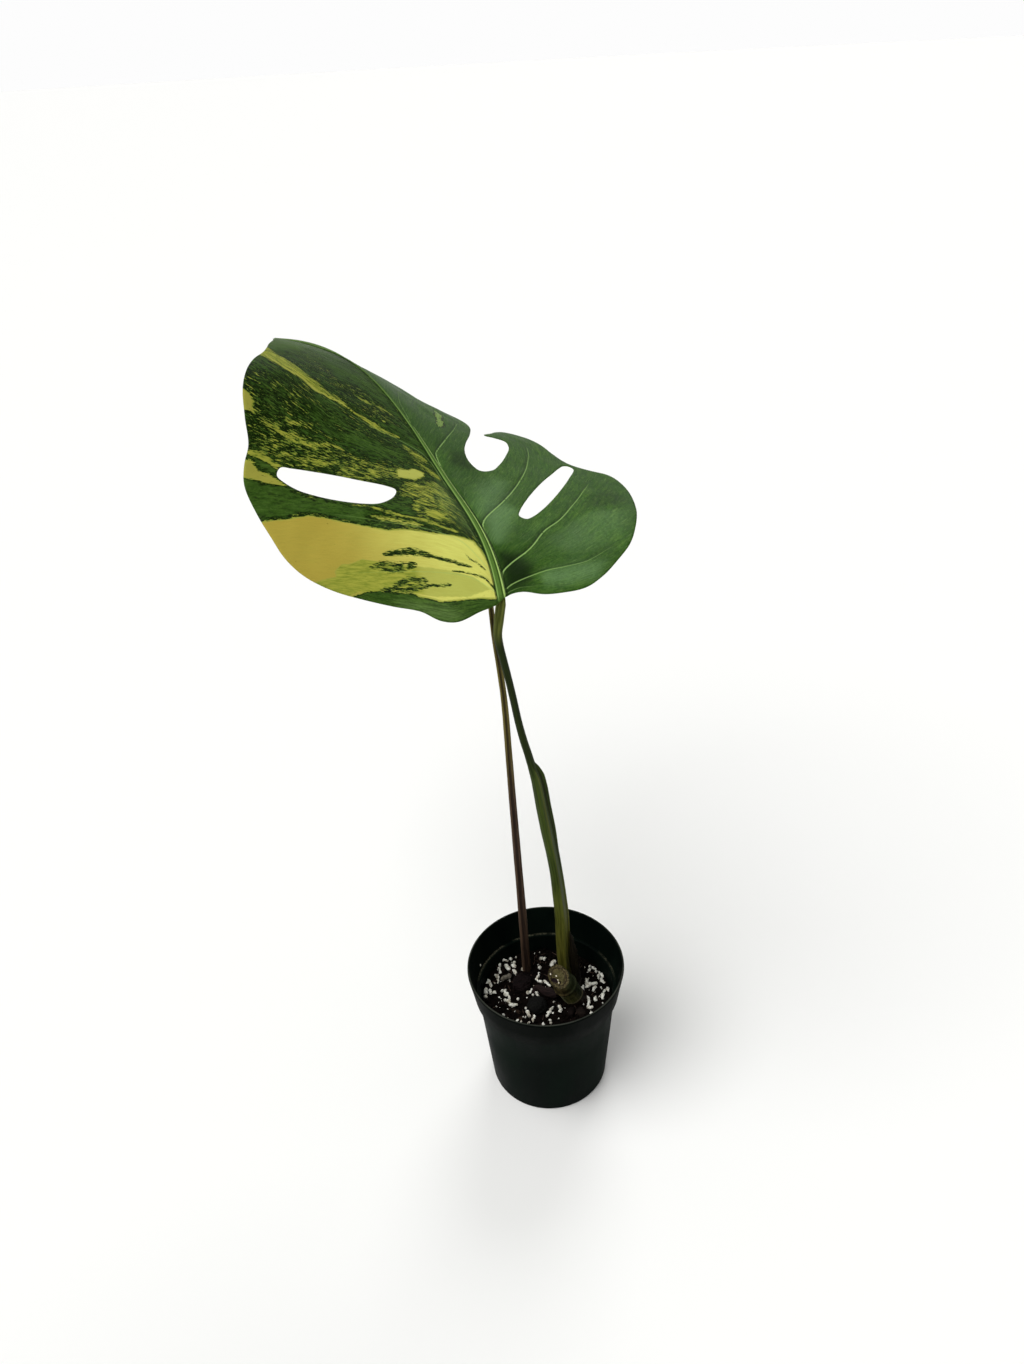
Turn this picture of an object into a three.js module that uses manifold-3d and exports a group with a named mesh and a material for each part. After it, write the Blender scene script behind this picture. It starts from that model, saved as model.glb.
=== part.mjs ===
// A variegated split-leaf plant: one cutting with a single large leaf, in a round nursery pot.
// Millimetres, +Z up, origin at the centre of the pot's underside; the leaf leans away along +Y and -X.
import * as THREE from 'three';
import { mergeVertices } from 'three/addons/utils/BufferGeometryUtils.js';
import Module from 'manifold-3d';

const wasm = await Module();
wasm.setup();

// Pot
const rimDiameter = 120;
const potHeight = 115;
const footDiameter = 92;
const neckDiameter = 106.8;
const collarFootDiameter = 112.2;
const collarHeight = 26.6;
const wall = 1.4;
const floorThickness = 1.8;
const drainHoleDiameter = 9;
const drainHoleCount = 8;
const drainCircleDiameter = 62;
// Soil and what lies on it
const soilLevel = 78;
const fit = 0.3;
const grainRadius = 2.1;
const clodRadius = 3.2;
const clodCount = 18;
// Cutting
const stemDiameter = 17;
const stickDiameter = 7.5;
const sheathThickness = 0.7;
const leafSpan = 290;
const bladeThickness = 0.8;
const midribDepth = 1.8;
const bladeEdgeStep = 6;
const bladeGridStep = 10;

const up = new THREE.Vector3(0, 0, 1);

function vec(point) {
  return new THREE.Vector3(...point);
}

function randomSource(seed) {
  const modulus = 2147483647;
  let state = seed;
  return () => {
    state = (state * 16807) % modulus;
    return state / modulus;
  };
}

// Catmull-Rom through evenly spaced values; place runs from 0 to 1 and is held at both ends.
function profile(values, place) {
  const last = values.length - 1;
  const x = Math.min(Math.max(place, 0), 1) * last;
  const i = Math.min(Math.floor(x), last - 1);
  const f = x - i;
  const b = values[i];
  const c = values[i + 1];
  const a = i > 0 ? values[i - 1] : 2 * b - c;
  const d = i < last - 1 ? values[i + 2] : 2 * c - b;
  return b + 0.5 * f * (c - a + f * (2 * a - 5 * b + 4 * c - d + f * (3 * (b - c) + d - a)));
}

function indexedGeometry(points, triangles) {
  const geometry = new THREE.BufferGeometry();
  const positions = points.flatMap((p) => [p.x, p.y, p.z]);
  geometry.setAttribute('position', new THREE.Float32BufferAttribute(positions, 3));
  geometry.setIndex(triangles);
  return geometry;
}

function toSolid(geometry) {
  const bare = geometry.clone();
  bare.deleteAttribute('normal');
  bare.deleteAttribute('uv');
  const merged = mergeVertices(bare, 1e-4);
  return new wasm.Manifold(new wasm.Mesh({
    numProp: 3,
    vertProperties: new Float32Array(merged.attributes.position.array),
    triVerts: new Uint32Array(merged.index.array),
  }));
}

function toGeometry(solid) {
  const mesh = solid.getMesh();
  const geometry = new THREE.BufferGeometry();
  geometry.setAttribute('position', new THREE.BufferAttribute(mesh.vertProperties, 3));
  geometry.setIndex(new THREE.BufferAttribute(mesh.triVerts, 1));
  return geometry;
}

function makeMesh(name, geometry, color, roughness) {
  geometry.computeVertexNormals();
  const material = new THREE.MeshStandardMaterial({ color, roughness, metalness: 0 });
  const mesh = new THREE.Mesh(geometry, material);
  mesh.name = name;
  return mesh;
}

// A closed solid through rings with the same number of points, counter-clockwise about the way they run.
function loft(rings) {
  const count = rings[0].length;
  const points = rings.flat();
  const triangles = [];
  for (let ring = 0; ring < rings.length - 1; ring++) {
    for (let j = 0; j < count; j++) {
      const next = (j + 1) % count;
      const a = ring * count + j;
      const b = ring * count + next;
      triangles.push(a, b, b + count, a, b + count, a + count);
    }
  }
  const firstCentre = points.length;
  const lastCentre = firstCentre + 1;
  const middle = (ring) => ring.reduce((sum, p) => sum.add(p), new THREE.Vector3()).divideScalar(count);
  points.push(middle(rings[0]), middle(rings[rings.length - 1]));
  const top = (rings.length - 1) * count;
  for (let j = 0; j < count; j++) {
    const next = (j + 1) % count;
    triangles.push(firstCentre, next, j, lastCentre, top + j, top + next);
  }
  return indexedGeometry(points, triangles);
}

// A ring of points about a centre; radiusAt takes the angle from the ring's right-hand axis.
function ring(centre, right, back, sides, radiusAt) {
  const points = [];
  for (let j = 0; j < sides; j++) {
    const angle = (j / sides) * 2 * Math.PI;
    const r = radiusAt(angle);
    const point = centre.clone().addScaledVector(right, r * Math.cos(angle));
    points.push(point.addScaledVector(back, r * Math.sin(angle)));
  }
  return points;
}

// Axes across a path: right is near +X and back is near +Y on an upright path.
function axesAcross(tangent) {
  const right = new THREE.Vector3(0, 1, 0).cross(tangent).normalize();
  const back = tangent.clone().cross(right);
  return { right, back };
}

function sweep(route, steps, sides, radiusAt) {
  const curve = new THREE.CatmullRomCurve3(route.map(vec), false, 'centripetal');
  const rings = [];
  for (let i = 0; i <= steps; i++) {
    const place = i / steps;
    const { right, back } = axesAcross(curve.getTangentAt(place));
    rings.push(ring(curve.getPointAt(place), right, back, sides, (angle) => radiusAt(angle, place)));
  }
  return rings;
}

// A round lump with uneven sides, squashed along its three axes and turned about +Z.
function lump(centre, halfSizes, turn, detail, seed) {
  const random = randomSource(seed);
  const geometry = mergeVertices(stripped(new THREE.IcosahedronGeometry(1, detail)), 1e-4);
  const position = geometry.attributes.position;
  const point = new THREE.Vector3();
  for (let i = 0; i < position.count; i++) {
    point.fromBufferAttribute(position, i).multiplyScalar(0.86 + 0.28 * random());
    point.multiply(vec(halfSizes)).applyAxisAngle(up, turn).add(vec(centre));
    position.setXYZ(i, point.x, point.y, point.z);
  }
  return geometry;
}

function stripped(geometry) {
  geometry.deleteAttribute('normal');
  geometry.deleteAttribute('uv');
  return geometry;
}

function enlarged(halfSizes, by) {
  return halfSizes.map((half) => half + by);
}

// Pot: one thin moulded wall with a wider collar, a ledge inside it, and drain holes round the floor.
const potSides = 56;
const drainHoleSides = 12;

function potGeometry() {
  const rim = rimDiameter / 2;
  const foot = footDiameter / 2;
  const neck = neckDiameter / 2;
  const collarFoot = collarFootDiameter / 2;
  const collarBottom = potHeight - collarHeight;
  const outline = [
    [0, 0], [foot - 1.5, 0], [foot, 1.5],
    [neck, collarBottom], [collarFoot, collarBottom + 0.6],
    [rim, potHeight - 1], [rim - 0.4, potHeight], [rim - wall, potHeight],
    [collarFoot - wall, collarBottom + wall + 0.6], [neck - wall, collarBottom + wall],
    [foot - wall, floorThickness], [0, floorThickness],
  ];
  const lathe = new THREE.LatheGeometry(outline.map(([r, z]) => new THREE.Vector2(r, z)), potSides);
  let pot = toSolid(lathe.rotateX(Math.PI / 2));
  for (let i = 0; i < drainHoleCount; i++) {
    const angle = ((i + 0.5) / drainHoleCount) * 2 * Math.PI;
    const r = drainHoleDiameter / 2;
    const hole = new THREE.CylinderGeometry(r, r, 4 * floorThickness, drainHoleSides).rotateX(Math.PI / 2);
    const centre = new THREE.Vector3(drainCircleDiameter / 2, 0, 0).applyAxisAngle(up, angle);
    pot = pot.subtract(toSolid(hole.translate(centre.x, centre.y, 0)));
  }
  return toGeometry(pot);
}

// Radius inside the pot's wall at a height below the collar.
function potInside(z) {
  const collarBottom = potHeight - collarHeight;
  const slope = (neckDiameter - footDiameter) / 2 / collarBottom;
  return footDiameter / 2 - wall + slope * (z - floorThickness);
}

function soilHeight(x, y) {
  const tilt = -0.05 * y - 0.02 * x;
  return soilLevel + tilt + 0.9 * Math.sin(x / 7 + 1) * Math.cos(y / 6) + 0.5 * Math.sin((x + y) / 3.5);
}

// Soil: a filled body with an uneven top, grains and clods raised from it, and plain holes for what stands
// in it.
const soilSides = 36;
const soilRows = 8;

function soilGeometry(cutters) {
  const sides = soilSides;
  const rows = soilRows;
  const bottom = floorThickness + fit;
  const points = [new THREE.Vector3(0, 0, soilHeight(0, 0))];
  const triangles = [];
  for (let row = 1; row <= rows; row++) {
    const r = (potInside(soilLevel - 5) - fit) * row / rows;
    for (let j = 0; j < sides; j++) {
      const angle = (j / sides) * 2 * Math.PI;
      const x = r * Math.cos(angle);
      const y = r * Math.sin(angle);
      points.push(new THREE.Vector3(x, y, soilHeight(x, y)));
    }
  }
  const baseRadius = potInside(bottom) - fit;
  for (let j = 0; j < sides; j++) {
    const angle = (j / sides) * 2 * Math.PI;
    points.push(new THREE.Vector3(baseRadius * Math.cos(angle), baseRadius * Math.sin(angle), bottom));
  }
  points.push(new THREE.Vector3(0, 0, bottom));
  const at = (row, j) => 1 + (row - 1) * sides + (j % sides);
  for (let j = 0; j < sides; j++) {
    triangles.push(0, at(1, j), at(1, j + 1));
    for (let row = 1; row <= rows; row++) {
      triangles.push(at(row, j), at(row + 1, j), at(row + 1, j + 1));
      triangles.push(at(row, j), at(row + 1, j + 1), at(row, j + 1));
    }
    triangles.push(at(rows + 1, j + 1), at(rows + 1, j), points.length - 1);
  }
  let soil = toSolid(indexedGeometry(points, triangles));
  for (const grain of soilGrains()) {
    soil = soil.add(toSolid(grain));
  }
  for (const cutter of cutters) {
    soil = soil.subtract(toSolid(cutter));
  }
  return toGeometry(largestPiece(soil));
}

function largestPiece(solid) {
  const pieces = solid.decompose();
  return pieces.reduce((best, piece) => (piece.volume() > best.volume() ? piece : best));
}

// Pale grains lie in drifts, by bearing from +X in degrees, distance from the middle and spread. Clods lie
// all over.
const grainDrifts = [
  { bearing: 142, distance: 42, spread: 11, grains: 10 },
  { bearing: 178, distance: 40, spread: 9, grains: 7 },
  { bearing: 215, distance: 34, spread: 10, grains: 6 },
  { bearing: 262, distance: 30, spread: 13, grains: 8 },
  { bearing: 340, distance: 36, spread: 9, grains: 6 },
  { bearing: 15, distance: 42, spread: 10, grains: 9 },
  { bearing: 85, distance: 32, spread: 12, grains: 6 },
];

function soilGrains() {
  const random = randomSource(71);
  const limit = potInside(soilLevel) - fit - clodRadius * 1.2;
  const grains = [];
  const place = (x, y, radius) => {
    const distance = Math.hypot(x, y);
    const pull = distance > limit ? limit / distance : 1;
    const centre = [x * pull, y * pull, soilHeight(x * pull, y * pull) + radius * 0.25];
    const halfSizes = [radius, radius * 0.85, radius * 0.75];
    grains.push(lump(centre, halfSizes, random() * Math.PI, 0, 900 + grains.length * 17));
  };
  for (const { bearing, distance, spread, grains: count } of grainDrifts) {
    const middle = new THREE.Vector3(distance, 0, 0).applyAxisAngle(up, THREE.MathUtils.degToRad(bearing));
    for (let i = 0; i < count; i++) {
      const x = middle.x + (random() * 2 - 1) * spread;
      const y = middle.y + (random() * 2 - 1) * spread;
      place(x, y, grainRadius * (0.8 + 0.4 * random()));
    }
  }
  for (let i = 0; i < clodCount; i++) {
    const angle = random() * 2 * Math.PI;
    const distance = Math.sqrt(random()) * limit;
    place(distance * Math.cos(angle), distance * Math.sin(angle), clodRadius * (0.7 + 0.5 * random()));
  }
  return grains;
}

// Stem of the cutting: leans to the left and forward out of the soil, with a slanting cut across its top.
const stemAxis = new THREE.Vector3(-0.37, -0.192, 0.909).normalize();
const stemAtSoil = new THREE.Vector3(22.8, -4.3, soilLevel);
const stemCut = { along: 36.5, scale: 0.97, facing: new THREE.Vector3(-0.12, -0.72, 0.68).normalize() };
const stemSides = 20;
// Stations along the stem from the soil's surface, with the share of its diameter there. A node ring swells it
// just under the cut.
const stemStations = [
  [-34, 0.9], [-6, 0.96], [0, 1], [12, 0.98], [21, 0.99], [24, 1.05], [25.6, 1.13], [27.4, 1.03],
];

function stemGeometry(grow) {
  const { right, back } = axesAcross(stemAxis);
  const radiusAt = (scale) => () => (stemDiameter / 2) * scale + grow;
  const rings = stemStations.map(([along, scale], i) => {
    const centre = stemAtSoil.clone().addScaledVector(stemAxis, along - (i === 0 ? grow : 0));
    return ring(centre, right, back, stemSides, radiusAt(scale));
  });
  const cutCentre = stemAtSoil.clone().addScaledVector(stemAxis, stemCut.along);
  const slant = stemAxis.dot(stemCut.facing);
  rings.push(ring(cutCentre, right, back, stemSides, radiusAt(stemCut.scale)).map((point) => {
    const off = cutCentre.clone().sub(point).dot(stemCut.facing);
    return point.addScaledVector(stemAxis, off / slant);
  }));
  return loft(rings);
}

// Thick root from the stem's left side, half sunk in the soil before it turns down.
const rootRoute = [
  [8.2, -7.6, 87.8], [4.6, -5.4, 86.2], [-1.3, -0.6, 83.8], [-7.6, 6.2, 80.2], [-10.4, 4.9, 75.5],
  [-11.4, 3.8, 68],
];
const rootRadii = [2.4, 3.7, 2.9, 2.2, 2.1, 2];

function rootGeometry(grow) {
  const taper = (angle, place) => profile(rootRadii, place) + grow;
  return loft(sweep(rootRoute, 16, 10, taper));
}

// Leaf stalk: grooved between two sheath wings for two thirds of its height, then slim and round to the knee
// under the leaf.
const stalkRoute = [
  [18.6, 11, 66], [16.6, 10.6, 84], [13.4, 10, 106], [13.2, 9, 136], [13, 8, 164], [8.9, 6, 213],
  [4.6, 5, 252], [-0.1, 4, 288], [-4.7, 3, 303], [-8.2, 2, 323], [-14, 1, 356], [-20, 0, 387],
  [-21.5, 0, 402], [-19.7, 0.2, 415],
];
const stalkRadii = [5, 5, 4.8, 4.5, 4.2, 4, 3.9, 2.8, 2.65, 2.5, 2.5, 2.7, 3.1];
const wingHeights = [0.5, 0.7, 0.8, 0.8, 0.7, 0.9, 1.5, 0, 0, 0, 0, 0, 0];
const grooveBearing = THREE.MathUtils.degToRad(-32);
const wingSpread = THREE.MathUtils.degToRad(40);
const wingWidth = THREE.MathUtils.degToRad(20);
const stalkSteps = 40;
const stalkSides = 16;

// A rounded ridge of height 1 at a bearing round a section, with a half width in radians.
function ridge(angle, bearing, width) {
  const turn = Math.atan2(Math.sin(angle - bearing), Math.cos(angle - bearing));
  return Math.exp(-((turn / width) ** 2));
}

function stalkRadius(angle, place) {
  const wing = Math.max(profile(wingHeights, place), 0);
  const leftWing = ridge(angle, grooveBearing - wingSpread, wingWidth);
  const rightWing = ridge(angle, grooveBearing + wingSpread, wingWidth);
  const groove = 1.1 * ridge(angle, grooveBearing, wingWidth);
  return profile(stalkRadii, place) + wing * (leftWing + rightWing - groove);
}

function stalkGeometry() {
  const rings = sweep(stalkRoute, stalkSteps, stalkSides, stalkRadius);
  const { forward, left, normal } = leafFrame(0);
  const seat = leafBase.clone().addScaledVector(normal, -(bladeThickness / 2 + midribDepth + 1.2 * fit));
  const kneeRadius = stalkRadii[stalkRadii.length - 1];
  rings.push(ring(seat, left.clone().negate(), forward, stalkSides, () => kneeRadius));
  return loft(rings);
}

function stalkClearance() {
  const wider = (angle, place) => stalkRadius(angle, place) + fit;
  return loft(sweep(stalkRoute, stalkSteps, stalkSides, wider)).translate(0, 0, -fit);
}

// Leaf blade. A flat pattern is given in millimetres along (s) and to the left of (t) the midrib, and laid on a
// curved surface: the midrib turns and arches along its length, and each half folds up and droops from it.
const leafBase = new THREE.Vector3(-17.1, 0, 431.7);
const heading = [7, 24, 32, 44, 69];
const climb = [31, 19, 31, 22, 1];
const roll = [-2, 3, 6, 8, 3];
const leftFold = [-4, 4, 8, 12, 11];
const leftDroop = [18, 15, 13, 8, 6];
const rightFold = [-6, -8, -21, -28, -26];
const rightDroop = [-5, -8, -8, -2, 6];

const bladeOutline = [
  [-5, 4], [-8, 14], [-12, 28], [-9, 38], [1, 50], [10, 66], [22, 83], [36, 99], [54, 113], [72, 121],
  [92, 125], [112, 128], [134, 129], [148, 125], [160, 119], [178, 116], [198, 111], [214, 102], [228, 91],
  [242, 75], [258, 57], [276, 34], [291, 13], [299, 0], [291, -14], [274, -34], [252, -56], [230, -71],
  [208, -82],
  [190, -87], [180, -84], [170, -76], [158, -62], [146, -46], [136, -36], [125, -31], [115, -33], [115, -44],
  [121, -55], [133, -73], [145, -89], [153, -94], [157, -88], [160, -80], [165, -94], [171, -110], [172, -122],
  [162, -129], [148, -127], [134, -121], [120, -118], [106, -122], [94, -126], [80, -123], [64, -117],
  [50, -110], [38, -101], [27, -91], [17, -78], [8, -66], [1, -53], [-1, -40], [-1, -26], [2, -14], [1, -5],
];
const leftSlot = [
  [139, 104], [136, 97], [130, 85], [123, 72], [115, 58], [107, 44], [102, 39], [96, 43], [93, 53], [96, 64],
  [102, 76], [109, 87], [118, 98], [127, 105], [134, 108],
];
const rightSlot = [
  [60, -34], [64, -44], [72, -58], [84, -75], [97, -94], [107, -108], [113, -113], [117, -109], [109, -94],
  [96, -72], [83, -53], [72, -39], [65, -32],
];

function leafFrame(s) {
  const place = s / leafSpan;
  const turn = THREE.MathUtils.degToRad(profile(heading, place));
  const rise = THREE.MathUtils.degToRad(profile(climb, place));
  const lean = THREE.MathUtils.degToRad(profile(roll, place));
  const ahead = new THREE.Vector3(-Math.sin(turn), Math.cos(turn), 0);
  const levelLeft = new THREE.Vector3(-Math.cos(turn), -Math.sin(turn), 0);
  const forward = ahead.clone().multiplyScalar(Math.cos(rise)).addScaledVector(up, Math.sin(rise));
  const above = ahead.clone().multiplyScalar(-Math.sin(rise)).addScaledVector(up, Math.cos(rise));
  const left = levelLeft.clone().multiplyScalar(Math.cos(lean)).addScaledVector(above, Math.sin(lean));
  const normal = levelLeft.clone().multiplyScalar(-Math.sin(lean)).addScaledVector(above, Math.cos(lean));
  return { forward, left, normal };
}

// Midrib points every few millimetres, from below the stalk's seat to past the tip.
const midribStep = 5;
const midribStart = -20;
const midrib = [new THREE.Vector3()];
for (let s = midribStart; s < leafSpan + 15; s += midribStep) {
  const stride = leafFrame(s).forward.add(leafFrame(s + midribStep).forward).multiplyScalar(midribStep / 2);
  midrib.push(midrib[midrib.length - 1].clone().add(stride));
}
const midribAtBase = midrib[-midribStart / midribStep].clone();

function midribPoint(s) {
  const x = (s - midribStart) / midribStep;
  const i = Math.floor(x);
  return midrib[i].clone().lerp(midrib[i + 1], x - i).sub(midribAtBase).add(leafBase);
}

function bladePoint(s, t) {
  const { left, normal } = leafFrame(s);
  const place = s / leafSpan;
  const fold = THREE.MathUtils.degToRad(profile(t >= 0 ? leftFold : rightFold, place));
  const bend = THREE.MathUtils.degToRad(profile(t >= 0 ? leftDroop : rightDroop, place)) / 100;
  const reach = Math.abs(t);
  const across = (Math.sin(fold) - Math.sin(fold - bend * reach)) / bend;
  const rise = (Math.cos(fold - bend * reach) - Math.cos(fold)) / bend;
  return midribPoint(s).addScaledVector(left, Math.sign(t) * across).addScaledVector(normal, rise);
}

function bladeNormal(s, t) {
  const along = bladePoint(s + 0.5, t).sub(bladePoint(s - 0.5, t));
  const across = bladePoint(s, t + 0.5).sub(bladePoint(s, t - 0.5));
  return along.cross(across).normalize();
}

function smoothOutline(corners, step) {
  const through = corners.map(([s, t]) => new THREE.Vector3(s, t, 0));
  const curve = new THREE.CatmullRomCurve3(through, true, 'centripetal');
  const count = Math.round(curve.getLength() / step);
  return curve.getSpacedPoints(count).slice(0, count).map((p) => [p.x, p.y]);
}

function isInside(outline, [s, t]) {
  let inside = false;
  outline.forEach(([s1, t1], i) => {
    const [s2, t2] = outline[(i + 1) % outline.length];
    if ((t1 > t) !== (t2 > t) && s < (s2 - s1) * (t - t1) / (t2 - t1) + s1) {
      inside = !inside;
    }
  });
  return inside;
}

// Triangle of three pattern points with the circle through them.
function circleTriangle(points, a, b, c) {
  const [ax, ay] = points[a];
  const [bx, by] = [points[b][0] - ax, points[b][1] - ay];
  const [cx, cy] = [points[c][0] - ax, points[c][1] - ay];
  const twiceArea = bx * cy - by * cx;
  const corners = twiceArea > 0 ? [a, b, c] : [a, c, b];
  const b2 = bx * bx + by * by;
  const c2 = cx * cx + cy * cy;
  const x = (cy * b2 - by * c2) / (2 * twiceArea);
  const y = (bx * c2 - cx * b2) / (2 * twiceArea);
  return { corners, x: ax + x, y: ay + y, reach: x * x + y * y };
}

// Delaunay triangles: each new point clears the triangles whose circle holds it and fans out to their border.
function triangulate(points) {
  const far = 5000;
  const all = [...points, [-far, -far], [far, -far], [0, far]];
  let triangles = [circleTriangle(all, points.length, points.length + 1, points.length + 2)];
  points.forEach(([px, py], i) => {
    const border = new Map();
    const kept = [];
    for (const triangle of triangles) {
      if ((triangle.x - px) ** 2 + (triangle.y - py) ** 2 >= triangle.reach) {
        kept.push(triangle);
        continue;
      }
      triangle.corners.forEach((from, k) => {
        const to = triangle.corners[(k + 1) % 3];
        const key = `${Math.min(from, to)} ${Math.max(from, to)}`;
        if (!border.delete(key)) {
          border.set(key, [from, to]);
        }
      });
    }
    triangles = kept;
    for (const [from, to] of border.values()) {
      triangles.push(circleTriangle(all, from, to, i));
    }
  });
  const corners = triangles.map((triangle) => triangle.corners);
  return corners.filter((three) => Math.max(...three) < points.length);
}

// Pattern points: the cut edges, and an even grid of triangles between them with one row on the midrib.
function bladePattern() {
  const outline = smoothOutline(bladeOutline, bladeEdgeStep);
  const slots = [smoothOutline(leftSlot, bladeEdgeStep), smoothOutline(rightSlot, bladeEdgeStep)];
  const onBlade = (point) => isInside(outline, point) && !slots.some((slot) => isInside(slot, point));
  const points = [...outline, ...slots.flat()];
  const edgePoints = [...points];
  const rowStep = bladeGridStep * Math.sqrt(0.75);
  for (let row = -15; row <= 15; row++) {
    for (let s = -20; s < 300; s += bladeGridStep) {
      const point = [s + (row % 2 ? bladeGridStep / 2 : 0), row * rowStep];
      const room = bladeGridStep / 2;
      const clear = edgePoints.every(([es, et]) => Math.hypot(es - point[0], et - point[1]) > room);
      if (clear && onBlade(point)) {
        points.push(point);
      }
    }
  }
  const triangles = triangulate(points).filter((corners) => {
    const middle = [0, 1].map((axis) => corners.reduce((sum, c) => sum + points[c][axis], 0) / 3);
    return onBlade(middle);
  });
  return { points, triangles };
}

function bladeGeometry() {
  const { points, triangles } = bladePattern();
  const upper = [];
  const lower = [];
  for (const [s, t] of points) {
    const normal = bladeNormal(s, t);
    const rib = midribDepth * (1 - s / leafSpan) * Math.max(0, 1 - Math.abs(t) / 6);
    upper.push(bladePoint(s, t).addScaledVector(normal, bladeThickness / 2));
    lower.push(bladePoint(s, t).addScaledVector(normal, -bladeThickness / 2 - rib));
  }
  const below = points.length;
  const faces = [];
  const edges = new Map();
  for (const [a, b, c] of triangles) {
    faces.push(a, b, c, below + a, below + c, below + b);
    for (const [from, to] of [[a, b], [b, c], [c, a]]) {
      if (!edges.delete(`${to} ${from}`)) {
        edges.set(`${from} ${to}`, [from, to]);
      }
    }
  }
  for (const [from, to] of edges.values()) {
    faces.push(below + from, below + to, to, below + from, to, from);
  }
  return toGeometry(toSolid(indexedGeometry([...upper, ...lower], faces)));
}

// Papery sheath left at the foot of the stalk: a thin scale beside it, bowed to the front, that narrows to a
// tip. Each edge has its places to the right and back at even heights from the foot to the tip.
const sheathFoot = 74;
const sheathTip = 139;
const sheathBow = 1.8;
const sheathLeft = { right: [21.6, 19.4, 17.8, 17.8, 18.3], back: [7, 6.8, 7, 7.2, 7.3] };
const sheathRight = { right: [30, 30.2, 30.2, 26.4, 20.3], back: [9.5, 10, 10, 9, 7.7] };

function sheathGeometry(grow) {
  const thickness = sheathThickness + 2 * grow;
  const columns = 8;
  const rows = 10;
  const edge = ({ right, back }, v) => {
    const height = THREE.MathUtils.lerp(sheathFoot, sheathTip, v) - grow;
    return new THREE.Vector3(profile(right, v), profile(back, v), height);
  };
  const point = (u, v, offset) => {
    const from = edge(sheathLeft, v);
    const chord = edge(sheathRight, v).sub(from);
    const along = chord.clone().normalize();
    const front = along.clone().cross(up);
    const bow = sheathBow * Math.min(chord.length() / 8, 1) * 4 * u * (1 - u);
    from.addScaledVector(chord, u).addScaledVector(along, (u * 2 - 1) * grow);
    return from.addScaledVector(front, bow + offset);
  };
  const rings = [];
  for (let row = 0; row <= rows; row++) {
    const outer = [];
    const inner = [];
    for (let column = 0; column <= columns; column++) {
      outer.push(point(column / columns, row / rows, thickness / 2));
      inner.unshift(point(column / columns, row / rows, -thickness / 2));
    }
    rings.push([...outer, ...inner]);
  }
  return loft(rings);
}

// Dry split stick pushed in behind the cutting: it tapers and bends a little, with a groove down its front.
const stickRoute = [
  [-14, 31.6, 40], [-14.7, 28.2, 83], [-15.7, 24.6, 150], [-17, 20.6, 216], [-18.4, 15.6, 290],
  [-19.6, 12, 351], [-21.4, 10, 378], [-23.3, 8.6, 402], [-24.3, 8, 427],
];
const stickTopDiameter = 3.3;
const stickGroove = { depth: 0.7, width: 0.45, bearing: 1.5 * Math.PI };

function stickGeometry(grow) {
  const radiusAt = (angle, place) => {
    const groove = stickGroove.depth * ridge(angle, stickGroove.bearing, stickGroove.width);
    return THREE.MathUtils.lerp(stickDiameter, stickTopDiameter, place) / 2 + grow - groove;
  };
  return loft(sweep(stickRoute, 30, 14, radiusAt)).translate(0, 0, -grow);
}

const looseSeed = 5;

// Loose pieces that lie bedded in the soil: centre, half sizes, turn and colour.
const loosePieces = [
  { name: 'dark_clod', centre: [-7.8, -11.8, 80.4], halfSizes: [8.2, 7.9, 6.9], turn: 0.3, color: 0x2f302e },
  { name: 'husk_clump', centre: [-19, 12.4, 79.8], halfSizes: [7.2, 8.4, 4.8], turn: -0.4, color: 0x3b2526 },
  { name: 'bark_chip_tan', centre: [25.1, -20.7, 80.3], halfSizes: [3.6, 4.9, 3.2], turn: 0.5, color: 0x6b4a3a },
  { name: 'bark_chip_brown', centre: [17.6, -19.6, 80.2], halfSizes: [2.9, 4.7, 3], turn: -0.2, color: 0x402420 },
  { name: 'twig_long', centre: [-24.6, -15.4, 79.6], halfSizes: [6.8, 1.5, 1.5], turn: -0.5, color: 0x7c6248 },
  { name: 'twig_short', centre: [-20.2, -22.4, 80], halfSizes: [4.8, 1.4, 1.4], turn: 0.4, color: 0x74583f },
];

function looseGeometry({ centre, halfSizes, turn }, grow) {
  return lump(centre, enlarged(halfSizes, grow), turn, 1, looseSeed);
}

const clearances = [
  stemGeometry(fit), rootGeometry(fit), stickGeometry(fit), sheathGeometry(fit),
  stalkClearance(),
  ...loosePieces.map((piece) => looseGeometry(piece, fit * 1.4)),
];

const plant = new THREE.Group();
plant.add(
  makeMesh('pot', potGeometry(), 0x20272a, 0.55),
  makeMesh('soil', soilGeometry(clearances), 0x241a16, 0.95),
  makeMesh('cutting_stem', stemGeometry(0), 0x7d7b4a, 0.6),
  makeMesh('stem_root', rootGeometry(0), 0x3a2622, 0.8),
  makeMesh('leaf_stalk', stalkGeometry(), 0x6f8436, 0.45),
  makeMesh('leaf_blade', bladeGeometry(), 0x3f6a33, 0.4),
  makeMesh('dry_sheath', sheathGeometry(0), 0x5a4a33, 0.75),
  makeMesh('support_stick', stickGeometry(0), 0x8a705c, 0.75),
  ...loosePieces.map((piece) => makeMesh(piece.name, looseGeometry(piece, 0), piece.color, 0.9)),
);

export default plant;
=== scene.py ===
"""A variegated split-leaf plant: one cutting with a single large leaf, in a round nursery pot of soil.

The part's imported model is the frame. Sizes below are in millimetres and become metres as each mesh is made.
"""
import math

import bmesh
import bpy
import numpy as np
from mathutils import Matrix, Vector, kdtree, noise
from mathutils.geometry import delaunay_2d_cdt


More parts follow.
